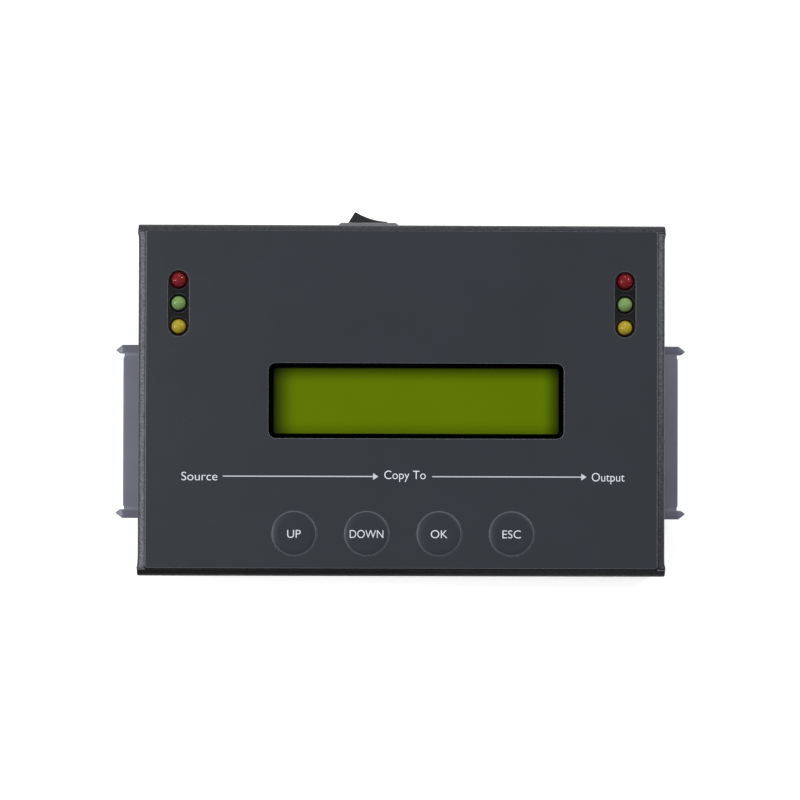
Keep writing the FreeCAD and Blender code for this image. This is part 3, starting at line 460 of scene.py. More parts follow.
def lofted(rings: Array) -> Shell:
    """Closed surface through rings with as many points each, with a flat face across each end.

    Args:
        rings: Rings from the top down, each running anticlockwise seen from the top.

    Returns:
        The closed shell.
    """
    steps, around = rings.shape[:2]
    ends = [np.arange(around)[None], (np.arange(around) + (steps - 1) * around)[None, ::-1]]
    return Shell(rings.reshape(-1, 3), [wall_faces(steps, around)] + ends, np.zeros(steps * around))


def quarter_round(radius: float, height: float, edge: float, steps: int = 5) -> Array:
    """Rows of radius and height down the rounded shoulder of a turned piece.

    Args:
        radius: Outer radius of the piece.
        height: Height of its top.
        edge: Radius of the shoulder.
        steps: Number of steps in it.

    Returns:
        Rows of radius and height, from the top face's rim to the side.
    """
    turn = quarter_turn(steps)
    return np.stack([radius - edge + edge * np.sin(turn), height - edge + edge * np.cos(turn)], 1)


# ---- Node trees ------------------------------------------------------------------------------------------
def linear(red: float, green: float, blue: float) -> Colour:
    """Scene-linear colour of a display colour given from 0 to 255.

    Args:
        red: Red part.
        green: Green part.
        blue: Blue part.

    Returns:
        Linear parts from 0 to 1, by the sRGB curve.
    """
    shares = [part / 255 for part in (red, green, blue)]
    return tuple(part / 12.92 if part <= 0.04045 else ((part + 0.055) / 1.055) ** 2.4 for part in shares)


class Graph:
    """Short forms for filling one node tree."""

    def __init__(self, tree: bpy.types.NodeTree) -> None:
        """Keeps the tree that the nodes go into."""
        self.tree = tree

    def add(self, kind: str, inputs: dict[str | int, Any] | None = None, **settings: Any) -> bpy.types.Node:
        """Adds a node.

        Args:
            kind: The node's type.
            inputs: Values or sockets for its inputs, by name or number.
            **settings: Its own properties.

        Returns:
            The node.
        """
        node = self.tree.nodes.new(kind)
        for name, value in settings.items():
            setattr(node, name, value)
        self.feed(node, inputs or {})
        return node

    def feed(self, node: bpy.types.Node, inputs: dict[str | int, Any]) -> None:
        """Sets a node's inputs to values, or links sockets to them.

        Args:
            node: The node.
            inputs: Values or sockets for its inputs, by name or number.
        """
        for key, value in inputs.items():
            if isinstance(value, bpy.types.NodeSocket):
                self.tree.links.new(value, node.inputs[key])
            else:
                node.inputs[key].default_value = value

    def math(self, operation: str, *values: Any) -> bpy.types.NodeSocket:
        """Result of a Math node on values or sockets."""
        return self.add("ShaderNodeMath", dict(enumerate(values)), operation=operation).outputs[0]

    def product(self, first: Any, second: Any) -> bpy.types.NodeSocket:
        """Product of two values or sockets."""
        return self.math("MULTIPLY", first, second)

    def scaled(self, colour: Any, level: Any) -> bpy.types.NodeSocket:
        """Colour times a level."""
        return self.add("ShaderNodeVectorMath", {0: colour, 3: level}, operation="SCALE").outputs[0]

    def spread(self, value: Any, low: float, high: float, out_low: Any,
               out_high: Any) -> bpy.types.NodeSocket:
        """Value carried smoothly from one range into another."""
        inputs = {"Value": value, "From Min": low, "From Max": high, "To Min": out_low, "To Max": out_high}
        return self.add("ShaderNodeMapRange", inputs, interpolation_type="SMOOTHSTEP").outputs[0]

    def blend(self, share: Any, first: Any, second: Any) -> bpy.types.NodeSocket:
        """Colour between two colours."""
        node = self.add("ShaderNodeMix", {0: share, 6: first, 7: second}, data_type="RGBA")
        return node.outputs[2]

    def place(self) -> bpy.types.NodeSocket:
        """The piece's own Object coordinates."""
        return self.add("ShaderNodeTexCoord").outputs["Object"]

    def noise(self, scale: Any, detail: float = 2.0) -> bpy.types.NodeSocket:
        """Value of a Noise texture on Object coordinates."""
        inputs = {"Vector": self.place(), "Scale": scale, "Detail": detail}
        return self.add("ShaderNodeTexNoise", inputs).outputs[0]

    def clouds(self, scale: Any, detail: float, out_low: Any, out_high: Any) -> bpy.types.NodeSocket:
        """Noise whose middle part is spread over a range."""
        return self.spread(self.noise(scale, detail), *CLOUD_SPAN, out_low, out_high)


class Effect(Enum):
    """Effects that several finishes share, each a node group with named inputs and outputs."""

    GRAIN = "fine_grain"
    MOTTLE = "soft_mottle"
    RIM = "pale_rim"
    GLOSS = "uneven_gloss"


def new_group(effect: Effect, inputs: Sequence[str],
              outputs: Sequence[str]) -> tuple[Graph, Any, bpy.types.Node]:
    """Empty node group with its sockets made. Sockets whose names end in Color are colours.

    Args:
        effect: The effect that it holds.
        inputs: Names of its inputs.
        outputs: Names of its outputs.

    Returns:
        A graph on the group, its input node's sockets and its output node.
    """
    tree = bpy.data.node_groups.new(effect.value, "ShaderNodeTree")
    for way, names in (("INPUT", inputs), ("OUTPUT", outputs)):
        for name in names:
            kind = COLOUR_SOCKET if name.endswith("Color") else "NodeSocketFloat"
            tree.interface.new_socket(name=name, in_out=way, socket_type=kind)
    graph = Graph(tree)
    return graph, graph.add("NodeGroupInput").outputs, graph.add("NodeGroupOutput")


def make_grain() -> None:
    """Grain of a powder coat or a moulded skin: noise for the swell, small cells for separate grains."""
    graph, given, out = new_group(Effect.GRAIN, ["Scale"], ["Height", "Speckle"])
    swell = graph.noise(given["Scale"], 3.0)
    cells = graph.add("ShaderNodeTexVoronoi", {"Vector": graph.place(),
                                               "Scale": graph.product(given["Scale"], CELLS_PER_SWELL)})
    dome = graph.math("SUBTRACT", 1.0, cells.outputs["Distance"])
    height = graph.math("ADD", graph.product(swell, SWELL_SHARE),
                        graph.product(dome, 1 - SWELL_SHARE))
    shade = graph.add("ShaderNodeSeparateColor", {0: cells.outputs["Color"]}).outputs[0]
    graph.feed(out, {"Height": height, "Speckle": graph.spread(shade, 0.35, 1.0, 0.0, 1.0)})


def make_mottle() -> None:
    """Slow lighter and darker clouds over a colour, as a print or a moulding has."""
    graph, given, out = new_group(Effect.MOTTLE, ["Color", "Scale", "Amount"], ["Color"])
    low, high = (graph.math(way, 1.0, given["Amount"]) for way in ("SUBTRACT", "ADD"))
    graph.feed(out, {"Color": graph.scaled(given["Color"], graph.clouds(given["Scale"], 4.0, low, high))})


def make_rim() -> None:
    """Paler colour on a piece's cut and rounded edges, broken up a little by noise: partly edge wear,
    partly a painted highlight where edges and bends catch the light.
    """
    graph, given, out = new_group(Effect.RIM, ["Color", "Rim Color", "Amount", "Scale"], ["Color"])
    mark = graph.add("ShaderNodeAttribute", attribute_name="rim").outputs["Fac"]
    broken = graph.clouds(given["Scale"], 3.0, 0.4, 1.0)
    share = graph.product(graph.product(mark, broken), given["Amount"])
    graph.feed(out, {"Color": graph.blend(share, given["Color"], given["Rim Color"])})


def make_gloss() -> None:
    """Roughness that wanders between two levels, as handling leaves it."""
    graph, given, out = new_group(Effect.GLOSS, ["Low", "High"], ["Roughness"])
    graph.feed(out, {"Roughness": graph.clouds(120.0, 4.0, given["Low"], given["High"])})


# ---- Finishes --------------------------------------------------------------------------------------------
def new_material(title: str) -> tuple[bpy.types.Material, Graph, bpy.types.Node]:
    """New material, with a graph on its nodes and its shader node.

    Args:
        title: The material's name.

    Returns:
        The material, a graph on its nodes and its shader node.
    """
    made = bpy.data.materials.new(title)
    made.use_nodes = True
    return made, Graph(made.node_tree), made.node_tree.nodes["Principled BSDF"]


@dataclass(frozen=True)
class Finish:
    """Solid colour with soft clouds, uneven gloss and a fine skin, and with paler edges if it has them."""

    name: str
    colour: Colour
    rim_colour: Colour | None = None
    rim_amount: float = 0.6
    mottle: float = 0.08
    mottle_scale: float = 60.0
    gloss_low: float = 0.4
    gloss_high: float = 0.5
    grain_scale: float = 3000.0
    grain_depth: float = 0.02
    speckle: float = 0.0
    metallic: float = 0.0
    specular: float = 0.5
    coat: float = 0.0
    coat_roughness: float = 0.08
    alpha: float = 1.0
    bump_strength: float = 0.8
    speckle_gain: float = 2.5

    def effect(self, graph: Graph, effect: Effect, **inputs: Any) -> bpy.types.bpy_prop_collection:
        """Outputs of a shared effect, placed in this material with its own values."""
        given = {name.replace("_", " "): value for name, value in inputs.items()}
        return graph.add("ShaderNodeGroup", given, node_tree=bpy.data.node_groups[effect.value]).outputs

    def colouring(self, graph: Graph, speckle: bpy.types.NodeSocket) -> bpy.types.NodeSocket:
        """Colour over the surface: clouds first, then grains, then edges.

        Args:
            graph: The graph of the material's nodes.
            speckle: Shade of each separate grain.

        Returns:
            The colour's socket.
        """
        colour = self.effect(graph, Effect.MOTTLE, Color=(*self.colour, 1.0), Scale=self.mottle_scale,
                             Amount=self.mottle)[0]
        if self.speckle:
            pale = tuple(min(1.0, part * self.speckle_gain) for part in self.colour)
            colour = graph.blend(graph.product(speckle, self.speckle), colour, (*pale, 1.0))
        if self.rim_colour is not None:
            colour = self.effect(graph, Effect.RIM, Color=colour, Rim_Color=(*self.rim_colour, 1.0),
                                 Amount=self.rim_amount, Scale=self.grain_scale)[0]
        return colour

    def material(self) -> bpy.types.Material:
        """The material, made at its first use and kept.

        Returns:
            The Blender material of this finish.
        """
        title = f"{self.name}_finish"
        known = bpy.data.materials.get(title)
        if known is not None:
            return known
        made, graph, shader = new_material(title)
        grain = self.effect(graph, Effect.GRAIN, Scale=self.grain_scale)
        gloss = self.effect(graph, Effect.GLOSS, Low=self.gloss_low, High=self.gloss_high)
        bump = graph.add("ShaderNodeBump", {"Strength": self.bump_strength, "Height": grain["Height"],
                                            "Distance": self.grain_depth * MM})
        graph.feed(shader, {"Metallic": self.metallic, "Specular IOR Level": self.specular,
                            "Coat Weight": self.coat, "Coat Roughness": self.coat_roughness,
                            "Alpha": self.alpha, "Base Color": self.colouring(graph, grain["Speckle"]),
                            "Roughness": gloss[0], "Normal": bump.outputs[0]})
        made.diffuse_color = (*self.colour, 1.0)
        return made


@dataclass(frozen=True)
class Shade:
    """Darkening along one edge of the display: which edge, how far it reaches, and how dark it starts."""

    axis: int
    sign: int
    start: float
    end: float
    dim: float


@dataclass(frozen=True)
class DisplayCell(Finish):
    """Reflective yellow-green liquid crystal cell, darker towards the frame that shades it."""

    middle: tuple[float, float] = (0.0, 0.0)
    half: tuple[float, float] = (40.0, 9.0)
    shades: tuple[Shade, ...] = ()

    def colouring(self, graph: Graph, speckle: bpy.types.NodeSocket) -> bpy.types.NodeSocket:
        """The clouded colour, darkened along each edge of the frame by how near that edge is.

        Args:
            graph: The graph of the material's nodes.
            speckle: Shade of each separate grain.

        Returns:
            The colour's socket.
        """
        colour = super().colouring(graph, speckle)
        place = graph.add("ShaderNodeSeparateXYZ", {0: graph.place()}).outputs
        shade = 1.0
        for side in self.shades:
            edge = (self.middle[side.axis] + side.sign * self.half[side.axis]) * MM
            away = graph.product(graph.math("SUBTRACT", edge, place[side.axis]), float(side.sign))
            shade = graph.product(shade, graph.spread(away, side.start * MM, side.end * MM, side.dim, 1.0))
        return graph.scaled(colour, shade)


@dataclass(frozen=True)
class Laminate(Finish):
    """Solder-masked board: copper runs show as paler lines under the green."""

    run_rate: float = 180.0
    run_span: tuple[float, float] = (0.78, 0.9)
    run_strength: float = 0.6
    run_gain: float = 1.9
    break_rate: float = 45.0
    break_span: tuple[float, float] = (0.48, 0.55)

    def colouring(self, graph: Graph, speckle: bpy.types.NodeSocket) -> bpy.types.NodeSocket:
        """The clouded green with straight pale runs, broken off by noise.

        Args:
            graph: The graph of the material's nodes.
            speckle: Shade of each separate grain.

        Returns:
            The colour's socket.
        """
        colour = super().colouring(graph, speckle)
        waves = graph.add("ShaderNodeTexWave", {"Vector": graph.place(), "Scale": self.run_rate})
        breaks = graph.spread(graph.noise(self.break_rate), *self.break_span, 0.0, self.run_strength)
        runs = graph.product(graph.spread(waves.outputs["Fac"], *self.run_span, 0.0, 1.0), breaks)
        pale = tuple(part * self.run_gain for part in self.colour)
        return graph.blend(runs, colour, (*pale, 1.0))


class Finishes:
    """Every finish of the object. Each lamp tints the resin and core, and the display sizes the cell."""

    # The paint's rim colour is a painted highlight on the bends, and partly wear on its cut edges.
    paint = Finish("powder_coat", linear(9, 9, 11), rim_colour=linear(116, 118, 127), rim_amount=0.9,
                   mottle=0.15, mottle_scale=300.0, gloss_low=0.28, gloss_high=0.35, grain_scale=1800.0,
                   grain_depth=0.24, speckle=0.5, specular=0.1)
    # The film's rim colour is a painted highlight on its cut edges.
    film = Finish("printed_film", linear(33, 37, 43), rim_colour=linear(140, 143, 150), rim_amount=1.0,
                  mottle=0.04, mottle_scale=35.0, gloss_low=0.24, gloss_high=0.28, grain_scale=6000.0,
                  grain_depth=0.003, specular=0.25)
    # The key's rim colour is a painted highlight on its rolled edge.
    key = Finish("key_plastic", linear(39, 43, 49), rim_colour=linear(120, 124, 130), rim_amount=0.5,
                 mottle=0.04, gloss_low=0.34, gloss_high=0.4, grain_scale=6000.0, grain_depth=0.004,
                 specular=0.15)
    ink = Finish("pale_ink", linear(214, 217, 226), mottle=0.03, gloss_low=0.45, gloss_high=0.5,
                 grain_depth=0.004, specular=0.3)
    line_ink = replace(ink, name="line_ink", colour=linear(186, 190, 197))
    black_frame = Finish("satin_black", linear(1, 2, 2), gloss_low=0.4, gloss_high=0.5, specular=0.0)
    socket = Finish("socket_plastic", linear(87, 89, 104), rim_colour=linear(150, 152, 160),
                    rim_amount=0.25, mottle=0.06, mottle_scale=150.0, gloss_low=0.4, gloss_high=0.5,
                    grain_scale=5000.0, grain_depth=0.012, specular=0.45)
    rocker = Finish("rocker_plastic", linear(17, 18, 20), mottle=0.1, gloss_low=0.38, gloss_high=0.48,
                    grain_scale=3500.0, grain_depth=0.02, specular=0.25)
    bezel = Finish("switch_bezel", linear(74, 76, 80), mottle=0.06, gloss_low=0.3, gloss_high=0.38,
                   grain_scale=4500.0, grain_depth=0.01)
    black = Finish("black_nylon", linear(34, 34, 36), mottle=0.08, gloss_low=0.4, gloss_high=0.5,
                   grain_scale=4000.0, grain_depth=0.012)
    rubber = Finish("foot_rubber", linear(36, 36, 37), mottle=0.14, mottle_scale=200.0, gloss_low=0.7,
                    gloss_high=0.85, grain_scale=2500.0, grain_depth=0.03, specular=0.25)
    screw = Finish("blackened_steel", linear(60, 60, 62), rim_colour=linear(140, 140, 142), rim_amount=0.3,
                   mottle=0.1, gloss_low=0.3, gloss_high=0.45, grain_depth=0.006, metallic=0.9)
    steel = Finish("zinc_plate", linear(176, 178, 180), mottle=0.08, gloss_low=0.25, gloss_high=0.4,
                   grain_depth=0.006, metallic=1.0)
    nickel = Finish("nickel_plate", linear(196, 190, 178), mottle=0.06, gloss_low=0.2, gloss_high=0.35,
                    grain_depth=0.005, metallic=1.0)
    gold = replace(nickel, name="gold_flash", colour=linear(222, 184, 106), gloss_high=0.32)
    aluminium = replace(nickel, name="aluminium_can", colour=linear(200, 202, 205), mottle=0.05,
                        gloss_low=0.22)
    ferrite = Finish("ferrite", linear(66, 66, 68), mottle=0.12, gloss_low=0.55, gloss_high=0.7,
                     grain_depth=0.02)
    chip = Finish("moulded_chip", linear(30, 30, 32), mottle=0.08, gloss_low=0.45, gloss_high=0.6,
                  grain_depth=0.01)
    nylon = Finish("natural_nylon", linear(226, 224, 214), mottle=0.05, gloss_low=0.35, gloss_high=0.5,
                   grain_depth=0.01)
    sheath = Finish("lead_sheath", linear(28, 28, 30), mottle=0.08, gloss_low=0.35, gloss_high=0.5)
    flat_cable = Finish("flat_cable", linear(214, 212, 204), mottle=0.05, gloss_low=0.35, gloss_high=0.45)
    light_guide = Finish("light_guide", linear(222, 232, 205), mottle=0.03, gloss_low=0.15, gloss_high=0.25,
                         coat=0.4)
    board = Laminate("solder_mask", linear(20, 92, 52), mottle=0.12, gloss_low=0.28, gloss_high=0.4)
    resin = Finish("resin", linear(255, 255, 255), mottle=0.02, gloss_low=0.07, gloss_high=0.1,
                   grain_depth=0.0, specular=0.28, alpha=0.46)
    core = Finish("core", linear(255, 255, 255), mottle=0.06, mottle_scale=900.0, gloss_low=0.5,
                  gloss_high=0.6, grain_depth=0.01, specular=0.2)
    cell = DisplayCell("display_cell", linear(85, 107, 1), mottle=0.02, mottle_scale=40.0, gloss_low=0.22,
                       gloss_high=0.3, grain_depth=0.0, specular=0.03)


# ---- Making pieces ---------------------------------------------------------------------------------------
def add_object(name: str, data: Any) -> bpy.types.Object:
    """New object in the scene's own collection.

    Args:
        name: The object's name.
        data: Its mesh, curve, light or camera.

    Returns:
        The object.
    """
    made = bpy.data.objects.new(name, data)
    bpy.context.scene.collection.objects.link(made)
    return made


def add_piece(name: str, shell: Shell, finish: Finish, body: str = HOUSING,
              replaces: Sequence[str] = ()) -> bpy.types.Object:
    """Puts a shell into the scene as one piece of the object.

    Args:
        name: The piece's name.
        shell: Its surface, in millimetres.
        finish: Its finish.
        body: The body that it moves with.
        replaces: Nodes of the frame that it stands for.

    Returns:
        The new object.
    """
    mesh = bpy.data.meshes.new(name)
    faces = [face for block in shell.faces for face in block.tolist()]
    mesh.from_pydata((shell.points * MM).tolist(), [], faces)
    mesh.polygons.foreach_set("use_smooth", np.ones(len(mesh.polygons), bool))
    mark = mesh.attributes.new("rim", "FLOAT", "POINT")
    mark.data.foreach_set("value", shell.marks.astype(np.float32))
    mesh.set_sharp_from_angle(angle=SHARP_ANGLE)
    mesh.materials.append(finish.material())
    mesh.update()
    made = add_object(name, mesh)
    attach(made, body)
    if replaces:
        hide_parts(*replaces)
    LOG.info("piece %s: %d faces, finish %s, on %s", name, len(faces), finish.name, body)
    return made


# ---- Housing ---------------------------------------------------------------------------------------------
@dataclass
class Panel:
    """What the cover and its film have in common: the case's middle, and the openings in the top."""

    window: tuple[float, float] = (84.0, 21.4)
    window_corner: float = 2.1
    film_margin: float = 0.5
    key_hole: float = 6.55
    lamp_hole: float = 2.65
    lamp_window: tuple[float, float] = (6.0, 18.9)
    case: Box = field(default_factory=lambda: Box.of("top_cover"))
    film: Box = field(default_factory=lambda: Box.of("panel_overlay"))
    display: Box = field(default_factory=lambda: Box.of("display_bezel"))

    @property
    def middle(self) -> Array:
        """Middle of the case in plan."""
        return self.case.centre[:2]

    def key_centres(self) -> list[Array]:
        """Middle of each key in plan."""
        return [Box.of(f"key_{name}").centre[:2] for name in Keys.names]

    def lamp_centres(self) -> dict[str, list[Array]]:
        """Middle of the left and the right lamp of each colour.

        Returns:
            The two middles of each colour, by its name.
        """
        places = {}
        for colour in Lamps.colours:
            box = Box.of(f"leds_{colour}")
            reach = box.high[0] - box.size[1] / 2
            places[colour] = [np.array([side * reach, box.centre[1]]) for side in (-1, 1)]
        return places


@dataclass
class Cover:
    """Top cover: one flat blank with its cut-outs, folded down on four sides."""

    panel: Panel
    sheet: float = 1.0
    bend: float = 2.0
    overhang: float = 0.3
    flare_length: float = 2.3
    flare_fade: float = 3.0
    flare_square: float = 0.55
    end_round: float = 0.8
    seam: float = 0.04
    wall_gap: float = 0.2
    edge: float = 0.14
    bend_steps: int = 14
    seam_pitch: float = 3.0
    notch_gap: float = 0.3
    leg_start: float = 1.0
    support: float = 0.12
    display_corner: float = 0.5
    switch_hole: tuple[float, float] = (15.0, 10.4)
    switch_corner: float = 0.3
    jack_hole: float = 4.25
    # Share of the pale rim, partly wear and partly painted highlight, that the openings in the top keep.
    top_mark: float = 0.35
    # Tables of the painted highlight on the bends, by turn or place along them, with its gains on the left
    # and the right.
    side_turns = (-2, 0, 9, 34, 52)
    side_shares = (0, 0.4, 0.75, 0.75, 0.1)
    left_gain: float = 1.25
    right_places = (-43, -13, 17, 45)
    right_gains = (0.3, 0.62, 0.95, 1.1)
    rear_turns = (-2, 4, 80, 90)
    rear_shares = (0, 0.2, 0.26, 0.05)
    front_places = (-5, 40)
    front_shares = (0, 0.08)

    def __post_init__(self) -> None:
        """Works out the lines of the blank from the case's box."""
        case = self.panel.case
        self.half_x = case.size[0] / 2 - self.overhang
        self.half_y = case.size[1] / 2
        self.fold_x = self.half_x - self.bend
        self.fold_y = self.half_y - self.bend
        self.arc = self.bend * math.pi / 2
        self.drop = case.size[2] - self.bend
        self.top = case.high[2]
        self.rings = edge_rings(0, -self.sheet, self.edge, self.edge, 3)

    def blank_height(self, z: float) -> float:
        """Distance below the bend, along the sheet, of a height on a wall."""
        return self.top - self.bend - z

    def outline(self) -> Array:
        """Anticlockwise outline of the flat blank, with the notches that let the sockets out.

        Returns:
            Points of the outline.
        """
        fold_x, fold_y, arc = self.fold_x, self.fold_y, self.arc
        wide = self.half_x + self.overhang
        foot_x, foot_y = fold_x + arc + self.drop, fold_y + arc + self.drop
        side = fold_y - self.seam
        leg = self.half_y - self.sheet - self.wall_gap
        socket, gap = Box.of("drive_socket_right"), self.notch_gap
        low = socket.low[1] - gap - self.panel.middle[1]
        high = socket.high[1] + gap - self.panel.middle[1]
        notch = fold_x + arc + self.blank_height(socket.high[2] + gap)
        wall, start = fold_x + arc, fold_x + arc + self.leg_start
        right = [(wide, -foot_y), (wide, -fold_y), (fold_x, -fold_y), (fold_x, -side), (wall, -side),
                 (start, -leg), (foot_x, -leg), (foot_x, low), (notch, low), (notch, high), (foot_x, high),
                 (foot_x, leg), (start, leg), (wall, side), (fold_x, side), (fold_x, fold_y),
                 (wide, fold_y), (wide, foot_y)]
        left = [(-x, y) for x, y in reversed(right)]
        return np.array(right + left)

    def holes(self) -> list[Cut]:
        """Openings for the display, keys, lamps, switch and jack, in the blank's own plane.

        Returns:
            One cut for each opening.
        """
        panel, middle = self.panel, self.panel.middle
        size = np.array(panel.window) + 2 * panel.film_margin
        loops = [rounded_box(panel.display.centre[:2] - middle, size, self.display_corner, 4)]
        loops += [circle(panel.key_hole, centre - middle, 64) for centre in panel.key_centres()]
        loops += [circle(panel.lamp_hole, centre - middle, 40)
                  for pair in panel.lamp_centres().values() for centre in pair]
        switch, pin = Box.of("switch_housing"), Box.of("power_jack_pin").centre
        level = self.fold_y + self.arc
        loops.append(rounded_box((switch.centre[0], level + self.blank_height(switch.centre[2])),
                                 self.switch_hole, self.switch_corner, 3))
        loops.append(circle(self.jack_hole, (pin[0], level + self.blank_height(pin[2])), 48))
        return through(loops, self.rings)

    def seams(self) -> Seams:
        """Lines of points along the four bends, which the fold turns into round edges.

        Returns:
            The lines' points and the edges between them.
        """
        turn = np.linspace(0, self.arc, self.bend_steps + 1)
        across = np.concatenate([[-self.support], turn, [self.arc + self.support]])
        points, edges, count = [], [], 0
        inset = self.edge + self.support
        for axis, fold, reach in ((0, self.fold_x, self.fold_y - self.seam), (1, self.fold_y, self.half_x)):
            near_end = reach + (self.overhang if axis else 0) - inset
            steps = int(2 * near_end / self.seam_pitch)
            along = near_end * np.sin(np.linspace(-np.pi / 2, np.pi / 2, steps + 8))
            for sign in (-1, 1):
                for step in across:
                    inner = step < inset + 0.02 and axis
                    run = along if not inner else np.clip(along, -self.fold_x + inset, self.fold_x - inset)
                    run = np.unique(run)
                    line = np.full(len(run), sign * (fold + step))
                    points.append(np.stack([line, run] if axis == 0 else [run, line], 1))
                    edges.append(np.stack([np.arange(len(run) - 1), np.arange(1, len(run))], 1) + count)
                    count += len(run)
        return Seams(np.vstack(points), np.vstack(edges))

    def painted_bend_highlight(self, points: Array) -> Array:
        """Share of paler colour on the bends, a painted highlight where the lamps catch them: most in the
        upper part of the side bends.

        Args:
            points: Points of the flat blank.

        Returns:
            A share for each point.
        """
        a, b = points[:, 0], points[:, 1]
        turn = (np.abs(a) - self.fold_x) / self.bend
        side = np.interp(turn, np.radians(self.side_turns), self.side_shares)
        side *= np.where(a < 0, self.left_gain, np.interp(b, self.right_places, self.right_gains))
        rear = np.interp((b - self.fold_y) / self.bend, np.radians(self.rear_turns), self.rear_shares)
        front = np.where(-b > self.fold_y, np.interp(a, self.front_places, self.front_shares), 0)
        return np.where(np.abs(b) < self.fold_y - self.seam / 2, side, np.maximum(rear, front))

    def folded(self, points: Array) -> Array:
        """Carries the flat blank round its bends.

        Past a fold line the distance along the sheet becomes an angle about the bend's centre, and past a
        quarter turn it runs straight down. Near the case's corners the side bends grow squarer and swell
        outwards, and the front and rear walls' ends turn in by a small circle's sagitta.

        Args:
            points: Points of the blank: a, b, and minus the depth below the outer surface.

        Returns:
            The points in the frame.
        """
        a, b, depth = points[:, 0], points[:, 1], -points[:, 2]
        over_b = (np.abs(b) > self.fold_y - self.seam / 2) & (np.abs(a) < self.fold_x + self.arc - 0.3)
        past_a = np.where(over_b, 0, np.maximum(np.abs(a) - self.fold_x, 0))
        past_b = np.where(over_b, np.maximum(np.abs(b) - self.fold_y, 0), 0)
        past = past_a + past_b
        turn = np.minimum(past / self.bend, np.pi / 2)
        fall = np.maximum(past - self.arc, 0)
        wide = self.half_x + self.overhang
        nearness = np.maximum(np.abs(a) - (wide - self.end_round), 0) / self.end_round
        tuck = self.end_round * (1 - np.sqrt(np.maximum(1 - np.minimum(nearness, 0.98) ** 2, 0))) * 0.5
        radius = self.bend - depth - np.where(over_b, tuck, 0)
        flare = np.clip((np.abs(b) - (self.fold_y - self.flare_length)) / self.flare_length, 0, 1)
        flare = np.where(past_a > 0, flare ** 2 * (3 - 2 * flare), 0)
        power = 1 - self.flare_square * flare * np.exp(-fall / self.flare_fade)
        swell = self.overhang * flare * np.exp(-fall / self.flare_fade) * np.sin(turn)
        out = radius * np.sin(turn) ** power + swell
        level = self.top - self.bend + radius * np.cos(turn) ** power - fall
        x = np.where(past_a > 0, np.sign(a) * (self.fold_x + out), a)
        y = np.where(past_b > 0, np.sign(b) * (self.fold_y + out), b)
        return np.stack([x, y + self.panel.middle[1], level], 1)

    def build(self) -> None:
        """Makes the cover and dresses it."""
        flat = moulding(stacked(self.outline(), self.rings), self.holes(), self.seams())
        # Cut edges take the pale rim, partly wear and partly painted highlight, weaker round the openings
        # in the top; the bends take the stronger of it and the painted highlight.
        on_top = (np.abs(flat.points[:, :2]) < (self.fold_x - 0.5, self.fold_y - 0.5)).all(1)
        edge_wear_and_highlight = flat.marks * np.where(on_top, self.top_mark, 1.0)
        flat.marks = np.maximum(edge_wear_and_highlight, self.painted_bend_highlight(flat.points))
        shell = flat.mapped(self.folded)
        add_piece("cover_sheet", shell, Finishes.paint, replaces=["top_cover"])


@dataclass
class Film:
    """Printed film on the cover, with its cut edges and its plain legends."""

    panel: Panel
    corner: float = 0.8
    edge: float = 0.1
    key_edge: float = 0.05
    foot_edge: float = 0.02
    support: float = 0.04
    key_support: float = 0.02
    # Shares of the painted edge highlight on the rear edge and on the other edges.
    rear_edge_highlight: float = 0.16
    other_edge_highlight: float = 0.48

    def build(self) -> None:
        """Makes the film with its openings."""
        panel = self.panel
        film = panel.film
        low, high = film.low[2], film.high[2]
        rings = edge_rings(high, low, self.edge, self.foot_edge, 3, self.support)
        outline = stacked(rounded_box(film.centre[:2], film.size[:2], self.corner), rings)
        key_rings = edge_rings(high, low, self.key_edge, self.foot_edge, 3, self.key_support)
        cuts = through([circle(panel.key_hole, centre, 96) for centre in panel.key_centres()], key_rings)
        loops = [rounded_box(panel.display.centre[:2], panel.window, panel.window_corner, 8)]
        for side in (0, 1):
            column = [pair[side] for pair in panel.lamp_centres().values()]
            loops.append(rounded_box(np.mean(column, 0), panel.lamp_window,
                                     panel.lamp_window[0] / 2 - 1e-3, 16))
        shell = moulding(outline, cuts + through(loops, rings))
        # The film's pale edges are a painted highlight: full on the side edges, which face the side lamps,
        # weak on the rear edge, and about half on the front edge and the openings.
        at_side = np.abs(shell.points[:, 0] - film.centre[0]) > film.size[0] / 2 - 2 * self.edge
        at_rear = shell.points[:, 1] > film.high[1] - 2 * self.edge
        shell.marks *= np.select([at_side, at_rear], [1.0, self.rear_edge_highlight], self.other_edge_highlight)
        add_piece("front_film", shell, Finishes.film, replaces=["panel_overlay"])


